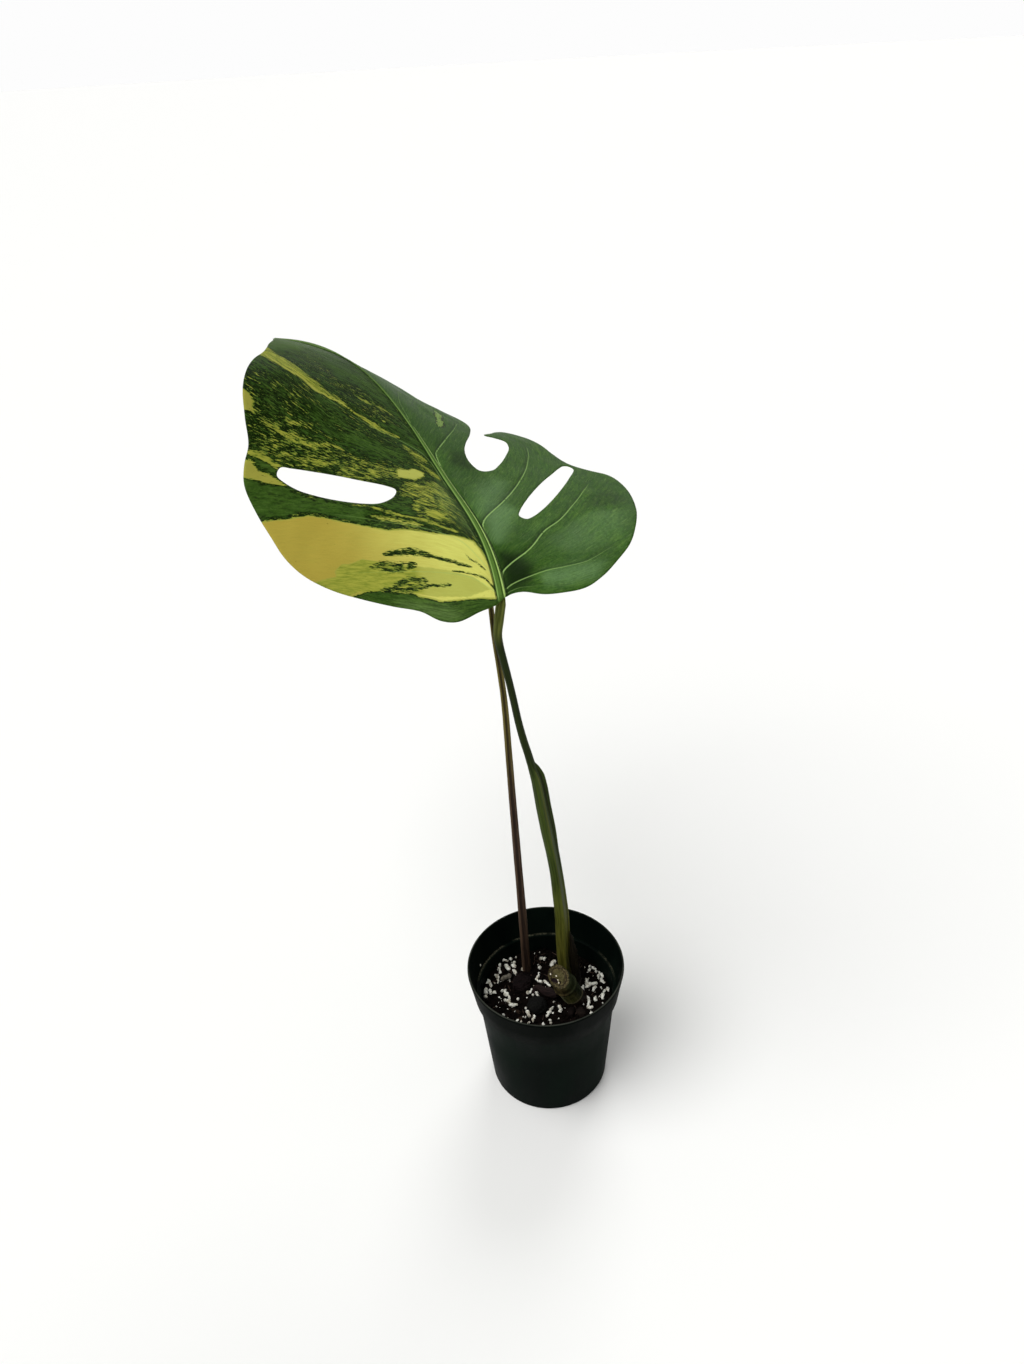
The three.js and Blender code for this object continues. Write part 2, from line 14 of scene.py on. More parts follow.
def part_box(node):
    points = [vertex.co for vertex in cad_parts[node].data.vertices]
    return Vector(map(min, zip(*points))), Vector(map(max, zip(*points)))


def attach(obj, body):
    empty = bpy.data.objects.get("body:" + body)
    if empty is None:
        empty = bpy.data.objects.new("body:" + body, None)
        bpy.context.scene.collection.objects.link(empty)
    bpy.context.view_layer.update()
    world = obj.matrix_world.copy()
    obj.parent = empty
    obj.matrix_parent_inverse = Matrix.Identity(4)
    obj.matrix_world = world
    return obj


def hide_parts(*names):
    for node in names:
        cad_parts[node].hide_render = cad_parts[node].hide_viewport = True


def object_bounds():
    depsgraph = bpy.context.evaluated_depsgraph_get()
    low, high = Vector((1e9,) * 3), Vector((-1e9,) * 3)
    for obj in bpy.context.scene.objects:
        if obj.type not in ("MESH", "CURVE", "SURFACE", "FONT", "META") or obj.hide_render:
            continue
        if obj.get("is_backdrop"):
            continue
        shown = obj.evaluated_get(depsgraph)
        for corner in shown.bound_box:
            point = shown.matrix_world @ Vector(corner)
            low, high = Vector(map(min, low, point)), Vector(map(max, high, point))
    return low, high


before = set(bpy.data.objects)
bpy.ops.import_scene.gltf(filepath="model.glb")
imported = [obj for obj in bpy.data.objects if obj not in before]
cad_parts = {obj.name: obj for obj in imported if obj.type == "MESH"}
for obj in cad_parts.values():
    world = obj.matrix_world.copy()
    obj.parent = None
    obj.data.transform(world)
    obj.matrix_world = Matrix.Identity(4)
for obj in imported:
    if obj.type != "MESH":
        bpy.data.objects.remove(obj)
cad_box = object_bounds()

# Camera: hand-held a little over half a metre in front of the plant, looking down on it and tipped
# sideways. Its place is in metres and its turns in degrees. Its focal length is in pixels of the photo,
# which is 1364 high.
SENSOR_SIDE = 36
FOCAL_PIXELS, PHOTO_HEIGHT = 1025, 1364
CAMERA_PLACE = (-0.0137, -0.550, 0.7162)
LOOK_DOWN, TIP_SIDEWAYS = 32.17, 3.17
camera_data = bpy.data.cameras.new("camera")
camera_data.sensor_width = SENSOR_SIDE
camera_data.lens = SENSOR_SIDE * FOCAL_PIXELS / PHOTO_HEIGHT
camera = bpy.data.objects.new("camera", camera_data)
camera.matrix_world = (
    Matrix.Translation(CAMERA_PLACE)
    @ Matrix.Rotation(math.radians(90 - LOOK_DOWN), 4, "X")
    @ Matrix.Rotation(math.radians(-TIP_SIDEWAYS), 4, "Z")
)
bpy.context.scene.collection.objects.link(camera)
bpy.context.scene.camera = camera
bpy.context.scene.view_settings.view_transform = "Standard"


# Floor: a very wide pale disc under the pot, plain and even, so that its far edge melts into the pale room.
def colour(red, green, blue):
    """A screen colour, each part from 0 to 255, as the linear light that shaders take."""
    parts = []
    for part in (red, green, blue):
        share = part / 255
        parts.append(share / 12.92 if share <= 0.04045 else ((share + 0.055) / 1.055) ** 2.4)
    return (*parts, 1.0)


FLOOR_RADIUS = 40
floor_mesh = bpy.data.meshes.new("floor")
floor_build = bmesh.new()
bmesh.ops.create_circle(floor_build, cap_ends=True, segments=96, radius=FLOOR_RADIUS)
floor_build.to_mesh(floor_mesh)
floor_build.free()
floor = bpy.data.objects.new("floor", floor_mesh)
bpy.context.scene.collection.objects.link(floor)
floor_paint = bpy.data.materials.new("pale floor")
floor_paint.use_nodes = True
floor_sockets = floor_paint.node_tree.nodes["Principled BSDF"].inputs
floor_sockets["Base Color"].default_value = colour(240, 240, 238)
floor_sockets["Roughness"].default_value = 0.9
floor_mesh.materials.append(floor_paint)
floor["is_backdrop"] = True


# Light: soft daylight from the upper left in front, and more from a window behind the plant, which gives
# the right half of the leaf its sheen. The room is as pale as the floor at its foot and dimmer higher up.
def daylight(name, towards, spread, strength):
    """Even light that comes from a patch of sky of a given width in degrees."""
    data = bpy.data.lights.new(name, "SUN")
    data.angle = math.radians(spread)
    data.energy = strength
    made = bpy.data.objects.new(name, data)
    made.rotation_euler = Vector(towards).to_track_quat("Z", "Y").to_euler()
    bpy.context.scene.collection.objects.link(made)


daylight("daylight in front", (-0.43, -0.25, 0.87), 50, 2.5)
daylight("window behind", (0.2, 0.71, 0.67), 30, 0.9)
# Each stop has a height, from 0 at the horizon to 1 overhead, and how pale the room is there.
ROOM_TONES = [(0.0, 0.982), (0.06, 0.982), (0.2, 0.5), (0.6, 0.22)]
room = bpy.data.worlds.new("room")
room.use_nodes = True
room_nodes = room.node_tree.nodes
heights = room_nodes.new("ShaderNodeSeparateXYZ")
room_tone = room_nodes.new("ShaderNodeValToRGB")
stops = room_tone.color_ramp.elements
for height, tone in ROOM_TONES:
    stops.new(height).color = (tone, tone, tone, 1)
stops.remove(stops[0])
stops.remove(stops[-1])
room.node_tree.links.new(room_nodes.new("ShaderNodeTexCoord").outputs["Generated"], heights.inputs[0])
room.node_tree.links.new(heights.outputs["Z"], room_tone.inputs[0])
room.node_tree.links.new(room_tone.outputs[0], room_nodes["Background"].inputs["Color"])
bpy.context.scene.world = room


# Pot: one thin wall of moulded black-green plastic with a wider collar, a rolled lip, a ledge inside and
# eight drain holes round its floor. Dust and scuffs dull it.
MM = 0.001


def feed(tree, socket, value):
    """Links a socket to another one, or sets it to a plain value."""
    if isinstance(value, bpy.types.NodeSocket):
        tree.links.new(value, socket)
    else:
        socket.default_value = value


def add_node(tree, kind, sockets, **settings):
    made = tree.nodes.new(kind)
    for key, value in settings.items():
        setattr(made, key, value)
    for key, value in sockets.items():
        feed(tree, made.inputs[key], value)
    return made


class Finish:
    """A material worked out from the place on a piece. Most calls add shader nodes and return an output."""

    def __init__(self, name, **constants):
        self.material = bpy.data.materials.new(name)
        self.material.use_nodes = True
        self.tree = self.material.node_tree
        self.shader = self.tree.nodes["Principled BSDF"]
        self.normal = None
        for socket, value in constants.items():
            self.shader.inputs[socket.replace("_", " ")].default_value = value

    def node(self, kind, sockets, output=0, **settings):
        return add_node(self.tree, "ShaderNode" + kind, sockets, **settings).outputs[output]

    def place(self):
        return self.node("TexCoord", {}, "Object")

    def read(self, attribute, output="Vector"):
        return self.node("Attribute", {}, output, attribute_name=attribute)

    def part(self, vector, axis):
        return self.node("SeparateXYZ", {0: vector}, axis)

    def stretch(self, vector, scale):
        return self.node("Mapping", {"Vector": vector, "Scale": scale})

    def grain(self, vector, scale, detail=3.0, roughness=0.55, distortion=0.0):
        sockets = {"Vector": vector, "Scale": scale, "Detail": detail, "Roughness": roughness}
        return self.node("TexNoise", {**sockets, "Distortion": distortion}, 0)

    def drawn(self, vector, scale, detail=3.0, roughness=0.55, distortion=0.0):
        """Noise with its own scale along each axis, so that it can be drawn out along one."""
        return self.grain(self.stretch(vector, scale), 1.0, detail, roughness, distortion)

    def pits(self, vector, scale):
        return self.node("TexVoronoi", {"Vector": vector, "Scale": scale}, "Distance")

    def level(self, value, low, high, to_low=0.0, to_high=1.0):
        sockets = {"Value": value, "From Min": low, "From Max": high, "To Min": to_low, "To Max": to_high}
        return self.node("MapRange", sockets, 0, interpolation_type="SMOOTHSTEP")

    def times(self, first, second):
        return self.node("Math", {0: first, 1: second}, operation="MULTIPLY")

    def plus(self, first, second):
        return self.node("Math", {0: first, 1: second}, operation="ADD")

    def minus(self, first, second):
        return self.node("Math", {0: first, 1: second}, operation="SUBTRACT")

    def band(self, value, low, high, soft):
        """1 between low and high, falling to 0 over a soft edge outside them."""
        return self.times(self.level(value, low - soft, low), self.level(value, high + soft, high))

    def mix(self, share, first, second):
        """From one colour to another; each is a socket or a screen colour."""
        first, second = (colour(*tone) if isinstance(tone, tuple) else tone for tone in (first, second))
        return self.node("Mix", {0: share, 6: first, 7: second}, 2, data_type="RGBA")

    def tint(self, value, low, high, first, second):
        """From one colour to another as a value goes from low to high."""
        return self.mix(self.level(value, low, high), first, second)

    def over(self, base, value, low, high, tone, strength=1.0):
        """A colour laid over a base, more and more as a value goes from low to high."""
        return self.mix(self.level(value, low, high, 0, strength), base, tone)

    def relief(self, height, depth, strength=1.0):
        """A bump of a depth in millimetres; further calls add finer ones."""
        sockets = {"Height": height, "Distance": depth * MM, "Strength": strength}
        if self.normal is not None:
            sockets["Normal"] = self.normal
        self.normal = self.node("Bump", sockets)
        feed(self.tree, self.shader.inputs["Normal"], self.normal)

    def set(self, **sockets):
        for socket, value in sockets.items():
            feed(self.tree, self.shader.inputs[socket.replace("_", " ")], value)


def make_piece(name, points, faces, materials, **attributes):
    """A smooth-shaded piece from points in millimetres, with point attributes of one or three numbers."""
    mesh = bpy.data.meshes.new(name)
    mesh.from_pydata((np.asarray(points, float) * MM).tolist(), [], faces)
    for attribute, values in attributes.items():
        values = np.asarray(values, np.float32)
        kind, field = ("FLOAT_VECTOR", "vector") if values.ndim == 2 else ("FLOAT", "value")
        mesh.attributes.new(attribute, kind, "POINT").data.foreach_set(field, values.ravel())
    mesh.shade_smooth()
    for material in materials:
        mesh.materials.append(material)
    piece = bpy.data.objects.new(name, mesh)
    bpy.context.scene.collection.objects.link(piece)
    return piece


def face_outwards(piece, merge=0.0):
    """Merges points that lie within a distance in millimetres, then points every face outwards."""
    build = bmesh.new()
    build.from_mesh(piece.data)
    if merge:
        bmesh.ops.remove_doubles(build, verts=build.verts, dist=merge * MM)
    bmesh.ops.recalc_face_normals(build, faces=build.faces)
    build.to_mesh(piece.data)
    build.free()


def circle(radius, z, sides, centre=(0, 0)):
    turns = [2 * math.pi * i / sides for i in range(sides)]
    return [(centre[0] + radius * math.cos(turn), centre[1] + radius * math.sin(turn), z) for turn in turns]


POT_SIDES = 168
POT_FLOOR_TOP = 1.8
# Section of the wall as radius and height, from the foot up the outside, over the lip and down the inside.
# Its first rings are the outside up to the lip.
OUTSIDE_RINGS = 14
POT_WALL = [
    (44.5, 0), (45.3, 0.25), (45.85, 0.8), (46, 1.5), (48.4, 30), (50.9, 60), (53.4, 88.4), (53.75, 88.75),
    (55.6, 88.9), (56.1, 89.4), (57.9, 101), (59.9, 112.8), (60, 113.6), (59.9, 114.5), (59.6, 114.9),
    (59.2, 115), (58.8, 114.9), (58.55, 114.5), (58.4, 113.5), (56.6, 102), (54.75, 91.2), (54.3, 90.2),
    (52.4, 89.9), (51.95, 89.5), (49.4, 60), (46.9, 30), (44.75, 3), (44.2, 2.1), (43.4, POT_FLOOR_TOP),
]
HOLE_RADIUS, HOLE_RING_RADIUS = 4.5, 31
HOLE_BEARINGS = [(i + 0.5) * math.pi / 4 for i in range(8)]
HOLE_CENTRES = [(HOLE_RING_RADIUS * math.cos(b), HOLE_RING_RADIUS * math.sin(b)) for b in HOLE_BEARINGS]
DRAIN_HOLES = [circle(HOLE_RADIUS, 0, 24, centre) for centre in HOLE_CENTRES]


def floor_disc(radius, z):
    """Triangles of the pot's floor between its rim circle and the drain holes."""
    rim = circle(radius, z, POT_SIDES)
    corners = [Vector(p[:2]) for p in rim]
    edges = [(i, (i + 1) % POT_SIDES) for i in range(POT_SIDES)]
    for hole in DRAIN_HOLES:
        start = len(corners)
        corners += [Vector(p[:2]) for p in hole]
        edges += [(start + i, start + (i + 1) % len(hole)) for i in range(len(hole))]
    for ring_radius in (10, 20, 38):
        corners += [Vector(p[:2]) for p in circle(ring_radius, z, 36)]
    corners.append(Vector((0, 0)))
    points, _, triangles, *_ = delaunay_2d_cdt(corners, edges, [], 0, 1e-4)
    kept = []
    for triangle in triangles:
        middle = sum((points[i] for i in triangle), Vector((0, 0))) / 3
        clear = all((middle - Vector(centre)).length > HOLE_RADIUS - 0.1 for centre in HOLE_CENTRES)
        if clear and middle.length < radius:
            kept.append(tuple(triangle))
    return [(p.x, p.y, z) for p in points], kept


def build_pot():
    points, faces = [], []
    for radius, z in POT_WALL:
        points += circle(radius, z, POT_SIDES)
    for ring in range(len(POT_WALL) - 1):
        for i in range(POT_SIDES):
            a, b = ring * POT_SIDES + i, ring * POT_SIDES + (i + 1) % POT_SIDES
            faces.append((a, b, b + POT_SIDES, a + POT_SIDES))
    for radius, z in (POT_WALL[0], POT_WALL[-1]):
        disc, triangles = floor_disc(radius, z)
        start = len(points)
        points += disc
        faces += [tuple(start + i for i in t) for t in triangles]
    for hole in DRAIN_HOLES:
        start = len(points)
        points += [(x, y, 0) for x, y, _ in hole] + [(x, y, POT_FLOOR_TOP) for x, y, _ in hole]
        for i in range(len(hole)):
            j = (i + 1) % len(hole)
            faces.append((start + i, start + j, start + len(hole) + j, start + len(hole) + i))
    outside = np.zeros(len(points))
    outside[:OUTSIDE_RINGS * POT_SIDES] = 1
    return points, faces, outside


plastic = Finish("moulded black plastic", Specular_IOR_Level=0.012)
spot = plastic.place()
haze = plastic.grain(plastic.stretch(spot, (1, 1, 0.35)), 38, 4, 0.6)
dust = plastic.grain(spot, 900, 2, 0.7)
base = plastic.tint(haze, 0.35, 0.7, (5, 11, 8), (11, 20, 15))
specks = plastic.level(plastic.pits(spot, 150), 0.12, 0.04)
rare = plastic.level(plastic.grain(spot, 26, 1), 0.56, 0.62)
base = plastic.mix(plastic.times(specks, rare), base, (6, 7, 6))
base = plastic.over(base, dust, 0.66, 0.8, (50, 54, 48), 0.2)
outside = plastic.read("outside", "Fac")
height = plastic.part(spot, 2)
on_back = plastic.level(plastic.part(spot, 1), -10 * MM, 30 * MM)
collar = plastic.times(outside, plastic.level(height, 86 * MM, 92 * MM))
base = plastic.mix(plastic.times(collar, 0.9), base, (2, 5, 3))
# A broken pale line on the inner ledge at the back: dust, and a painted highlight along its edge.
ledge_dust_and_highlight = plastic.minus(plastic.band(height, 90.1 * MM, 90.5 * MM, 0.2 * MM), outside)
ledge_dust_and_highlight = plastic.times(ledge_dust_and_highlight, plastic.times(on_back, plastic.level(haze, 0.46, 0.56)))
base = plastic.mix(plastic.times(ledge_dust_and_highlight, plastic.level(dust, 0.35, 0.65)), base, (86, 84, 68))
# The top of the lip is painted paler all round, broken up by noise: a painted highlight.
on_lip = plastic.level(height, 114.5 * MM, 114.9 * MM)
lip_highlight = plastic.times(on_lip, plastic.level(haze, 0.3, 0.6, 0.3, 1))
base = plastic.mix(lip_highlight, base, (52, 54, 48))
plastic.set(Base_Color=base, Roughness=plastic.level(haze, 0.3, 0.7, 0.42, 0.6))
plastic.relief(dust, 0.05, 0.5)
pot_points, pot_faces, pot_outside = build_pot()
pot = make_piece("nursery_pot", pot_points, pot_faces, [plastic.material], outside=pot_outside)
face_outwards(pot, merge=0.02)
pot.data.set_sharp_from_angle(angle=math.radians(40))
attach(pot, "root")
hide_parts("pot")


# Soil: dark peat pressed into the pot down to its floor, with a crumbly uneven top that slopes down towards
# the back. Everything that grows or lies in the pot is bedded in it.
SOIL_RADIUS = 50.3
SOIL_BOTTOM = 2.1
SOIL_ROWS = 56
# How much smaller the soil's radius is at its foot than at its top.
SOIL_TAPER = 5.9


def soil_height(x, y):
    tilt = -0.05 * y - 0.02 * x
    return 78 + tilt + 0.9 * math.sin(x / 7 + 1) * math.cos(y / 6) + 0.5 * math.sin((x + y) / 3.5)


def crumbled(x, y):
    fine = noise.fractal((x / 5, y / 5, 3), 0.9, 2.1, 5)
    lumps = noise.noise((x / 2.6, y / 2.6, 9))
    return soil_height(x, y) + 0.85 * fine + 0.5 * abs(lumps)


def build_soil():
    counts = [max(8, round(2 * math.pi * row * 0.9)) for row in range(1, SOIL_ROWS + 1)]
    corners = [Vector((0, 0))]
    for row, count in enumerate(counts, start=1):
        radius = SOIL_RADIUS * row / SOIL_ROWS
        for x, y, _ in circle(radius, 0, count):
            corners.append(Vector((x, y)))
    places, _, triangles, *_ = delaunay_2d_cdt(corners, [], [], 0, 1e-5)
    points = [(p.x, p.y, crumbled(p.x, p.y)) for p in places]
    faces = [tuple(t) for t in triangles]
    rim = list(range(len(places) - counts[-1], len(places)))
    low = len(points)
    for i in rim:
        x, y, _ = points[i]
        share = (places[i].length - SOIL_TAPER) / places[i].length
        points.append((x * share, y * share, SOIL_BOTTOM))
    points.append((0, 0, SOIL_BOTTOM))
    for k in range(len(rim)):
        n = (k + 1) % len(rim)
        faces.append((rim[k], low + k, low + n, rim[n]))
        faces.append((low + n, low + k, len(points) - 1))
    return points, faces


peat = Finish("dark peat", Roughness=0.95, Specular_IOR_Level=0.03)
spot = peat.place()
crumb = peat.grain(spot, 420, 5, 0.7)
patch = peat.grain(spot, 60, 3, 0.6)
base = peat.tint(crumb, 0.35, 0.7, (6, 5, 4), (20, 14, 12))
base = peat.over(base, patch, 0.55, 0.75, (22, 13, 12), 0.6)
peat.set(Base_Color=base)
peat.relief(crumb, 0.9, 0.9)
soil = make_piece("peat_soil", *build_soil(), [peat.material])
face_outwards(soil)
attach(soil, "root")
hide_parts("soil")


# Crumbs and fibres: loose bits of the same peat, and shreds of red-brown husk, strewn over its top. Each is
# turned, sized and roughened at random and lies half sunk in the soil.
def scatter_tree(name, with_sticks):
    """A node tree that puts a rough little shape on every point of its mesh, sized by the mesh's 'size'."""
    tree = bpy.data.node_groups.new(name, "GeometryNodeTree")
    inputs = {
        "Geometry": "Geometry", "Roughness": "Float", "Length": "Float", "Seed": "Int",
        "Material": "Material",
    }
    for label, kind in inputs.items():
        tree.interface.new_socket(label, in_out="INPUT", socket_type="NodeSocket" + kind)
    tree.interface.new_socket("Geometry", in_out="OUTPUT", socket_type="NodeSocketGeometry")

    def add(kind, sockets, **settings):
        return add_node(tree, kind, sockets, **settings).outputs

    given = add("NodeGroupInput", {})
    if with_sticks:
        stick_sizes = {"Vertices": 5, "Side Segments": 3, "Radius Top": 0.12, "Radius Bottom": 0.2}
        shape = add("GeometryNodeMeshCone", {**stick_sizes, "Depth": given["Length"]})
    else:
        shape = add("GeometryNodeMeshIcoSphere", {"Radius": 1, "Subdivisions": 2})
    any_turn = {"Max": (math.tau, math.tau, math.tau), "Seed": given["Seed"]}
    turn = add("FunctionNodeRandomValue", any_turn, data_type="FLOAT_VECTOR")
    any_squash = {"Min": (0.7, 0.6, 0.55), "Max": (1.15, 1.0, 0.9), "Seed": given["Seed"]}
    squash = add("FunctionNodeRandomValue", any_squash, data_type="FLOAT_VECTOR")
    size = add("GeometryNodeInputNamedAttribute", {"Name": "size"}, data_type="FLOAT")
    scale = add("ShaderNodeVectorMath", {0: squash["Value"], "Scale": size["Attribute"]}, operation="SCALE")
    sown = {"Points": given["Geometry"], "Instance": shape["Mesh"]}
    put = add("GeometryNodeInstanceOnPoints", {**sown, "Rotation": turn["Value"], "Scale": scale["Vector"]})
    real = add("GeometryNodeRealizeInstances", {"Geometry": put["Instances"]})
    rough = add("ShaderNodeTexNoise", {"Scale": 430})
    centred = add("ShaderNodeVectorMath", {0: rough["Color"], 1: (0.5, 0.5, 0.5)}, operation="SUBTRACT")
    shift = {0: centred["Vector"], "Scale": given["Roughness"]}
    amount = add("ShaderNodeVectorMath", shift, operation="SCALE")
    move = add("GeometryNodeSetPosition", {"Geometry": real["Geometry"], "Offset": amount["Vector"]})
    dress = add("GeometryNodeSetMaterial", {"Geometry": move["Geometry"], "Material": given["Material"]})
    add("NodeGroupOutput", {"Geometry": dress["Geometry"]})
    return tree


def scatter(name, tree, points, sizes, material, roughness, length, seed):
    """Runs a scatter tree over points in millimetres and keeps its result as a plain mesh."""
    sower = make_piece(name + "_sower", points, [], [], size=np.asarray(sizes) * MM)
    modifier = sower.modifiers.new("scatter", "NODES")
    modifier.node_group = tree
    values = {"Roughness": roughness * MM, "Length": length, "Seed": seed, "Material": material}
    for item in tree.interface.items_tree:
        if item.in_out == "INPUT" and item.name in values:
            modifier[item.identifier] = values[item.name]
    bpy.context.view_layer.update()
    seen = sower.evaluated_get(bpy.context.evaluated_depsgraph_get())
    mesh = bpy.data.meshes.new_from_object(seen)
    mesh.name = name
    piece = bpy.data.objects.new(name, mesh)
    bpy.context.scene.collection.objects.link(piece)
    sower.modifiers.clear()
    bpy.data.objects.remove(sower)
    return piece


def strewn_place(radius):
    """A place drawn at random inside a circle round the pot's middle."""
    bearing, reach = rng.uniform(0, math.tau), radius * math.sqrt(rng.uniform())
    return reach * math.cos(bearing), reach * math.sin(bearing)


pebble_tree = scatter_tree("rolled bits", False)
fibre_tree = scatter_tree("fibres", True)
rng = np.random.default_rng(12)
CRUMB_COUNT, CRUMB_REACH = 1500, 49.2
FIBRE_COUNT, FIBRE_REACH = 170, 46
crumb_spots, crumb_sizes = [], []
for _ in range(CRUMB_COUNT):
    x, y = strewn_place(CRUMB_REACH)
    size = 0.5 + 1.3 * rng.uniform() ** 3
    crumb_spots.append((x, y, crumbled(x, y) + 0.2 * size))
    crumb_sizes.append(size)
crumbs = scatter("peat_crumbs", pebble_tree, crumb_spots, crumb_sizes, peat.material, 0.9, 1.0, 3)
crumbs.data.shade_flat()
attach(crumbs, "root")

husk_fibre = Finish("red-brown fibre", Roughness=0.9)
spot = husk_fibre.place()
base = husk_fibre.mix(husk_fibre.grain(spot, 160), (30, 18, 15), (78, 56, 42))
husk_fibre.set(Base_Color=base)
fibre_spots, fibre_sizes = [], []
for _ in range(FIBRE_COUNT):
    x, y = strewn_place(FIBRE_REACH)
    fibre_spots.append((x, y, crumbled(x, y) + 0.5))
    fibre_sizes.append(rng.uniform(0.7, 1.7))
fibres = scatter("peat_fibres", fibre_tree, fibre_spots, fibre_sizes, husk_fibre.material, 0.8, 4.5, 8)
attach(fibres, "root")


# White grains: expanded volcanic glass, washed up out of the soil in short crooked strings and lumps. Each
# string has a size and its places to the right and back of the pot's middle. Smaller grains are strewn
# between them by a seeded rule, and one sticks to the wall inside the collar.
GRAIN_STRINGS = [
    (2.3, [(-2, 39), (0, 38)]), (2.6, [(5, 31.5), (8, 33.5)]), (1.5, [(-23, 42.5)]), (1.8, [(-27, 41)]),
    (1.6, [(-33, 37.5), (-30, 37)]), (1.8, [(-24, 37)]), (1.7, [(-36.5, 33.5)]),
    (2.5, [(-31, 32), (-30, 29.5)]), (2.2, [(-26, 32), (-24, 31)]), (2.3, [(-17, 28.5)]),
    (1.6, [(-37, 29), (-36, 26)]), (1.5, [(-25, 27), (-23, 22)]), (1.5, [(-40, 24), (-37.5, 21)]),
    (1.7, [(-45.5, 18.5), (-46.5, 16)]), (1.9, [(-45, 14.5), (-43.5, 12)]), (1.5, [(-38, 18.5), (-38, 16)]),
    (2.2, [(-47.8, 7), (-47.5, 4)]), (1.9, [(-48, 0)]), (1.6, [(-44, 6), (-44, 3)]), (2.0, [(-41, 3)]),
    (2.0, [(-35, 6), (-33, 6), (-32, 2.5), (-29.5, -0.5)]),
    (1.6, [(-32, -5), (-29.5, -5), (-29, -8), (-27, -10), (-24, -9)]), (1.5, [(-23, -2)]),
    (1.9, [(-14, 7), (-12, 6), (-15, 3)]), (1.5, [(-9, 5), (-7, 0.5)]), (1.5, [(-11, 1)]),
    (1.6, [(-4, 29)]), (1.2, [(-5, 32)]),
    (1.5, [(-5, 23), (-6, 20), (-7, 17), (-6, 14), (-4, 14), (-1, 15), (1, 12), (3, 8.5)]),
    (1.7, [(-17, -13)]), (1.9, [(-16, -18), (-15, -21)]), (2.0, [(-10, -22), (-11, -24), (-12, -26)]),
    (1.7, [(-15, -27.5)]), (1.5, [(4, -12), (2, -16), (1, -18), (-1, -21)]),
    (1.9, [(9.3, -12.5), (10, -15), (8.5, -17)]), (1.5, [(1, -25)]), (1.7, [(2, -29)]), (1.5, [(-4, -30)]),
    (1.5, [(-34, -18)]), (1.8, [(-24, -25)]), (1.2, [(-21, -26)]), (1.4, [(5, -8)]), (1.7, [(36.5, 29)]),
    (1.6, [(36, 25)]), (1.7, [(39, 27), (41, 23)]), (1.6, [(43, 20), (42, 16.5)]),
    (1.7, [(33, 14), (32, 11), (33, 7.5), (35, 9), (37, 9), (40, 10)]),
    (1.6, [(29, 8), (28.5, 5), (29, 2)]), (1.8, [(39, 6), (37, 3)]),
    (1.7, [(31, -4), (32.5, -6.5), (32, -10)]), (2.1, [(37.5, -6), (38, -8.5)]),
    (2.4, [(31.5, -13.5), (33, -16)]), (1.8, [(33, -21)]), (1.1, [(26, 19)]),
    (1.6, [(44, 22), (45.5, 18), (44, 14), (46, 11)]), (1.8, [(48, 3), (48, 0)]),
    (1.6, [(46, 1), (43.5, -3), (43, -6)]), (1.2, [(-37, -2)]),
]

WALL_GRAIN = (-51.3, 20.7, 93.5)
SMALL_GRAIN_COUNT, SMALL_GRAIN_REACH = 110, 48.5
perlite = Finish("white volcanic grain", Specular_IOR_Level=0.3, Roughness=0.85)
spot = perlite.place()
stain = perlite.grain(spot, 240, 3, 0.6)
base = perlite.tint(stain, 0.4, 0.7, (236, 236, 226), (168, 160, 142))
perlite.set(Base_Color=base)
perlite.relief(perlite.pits(spot, 1500), 0.25, 0.8)
grain_spots, grain_sizes = [], []
for size, string in GRAIN_STRINGS:
    for (x, y), (next_x, next_y) in zip(string, string[1:] + string[-1:]):
        beads = max(1, round(math.hypot(next_x - x, next_y - y) / (0.85 * size)))
        for k in range(beads):
            share = k / beads
            at_x = x + (next_x - x) * share + rng.normal(0, 0.15 * size)
            at_y = y + (next_y - y) * share + rng.normal(0, 0.15 * size)
            grain_spots.append((at_x, at_y, crumbled(at_x, at_y) + 0.45 * size))
            grain_sizes.append(size * rng.uniform(0.75, 1.05))
for _ in range(SMALL_GRAIN_COUNT):
    x, y = strewn_place(SMALL_GRAIN_REACH)
    size = rng.uniform(0.45, 0.95)
    grain_spots.append((x, y, crumbled(x, y) + 0.4 * size))
    grain_sizes.append(size)
grain_spots.append(WALL_GRAIN)
grain_sizes.append(1.3)
grains = scatter("white_grains", pebble_tree, grain_spots, grain_sizes, perlite.material, 2.0, 1.0, 21)
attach(grains, "root")

# Grey lump: three grains of dull pumice that have run together, half sunk in the soil on the left.
GREY_LUMP = [(-34, 16.5, 81), (-31.5, 17.5, 81.4), (-29, 19, 81)]
pumice = Finish("dull grey pumice", Roughness=0.9)
spot = pumice.place()
veined = pumice.drawn(spot, (400, 900, 900), 3)
base = pumice.mix(veined, (52, 50, 44), (128, 120, 106))
pumice.set(Base_Color=base)
lump = scatter("grey_lump", pebble_tree, GREY_LUMP, [2.4, 3.0, 2.2], pumice.material, 2.0, 1.0, 4)
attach(lump, "root")


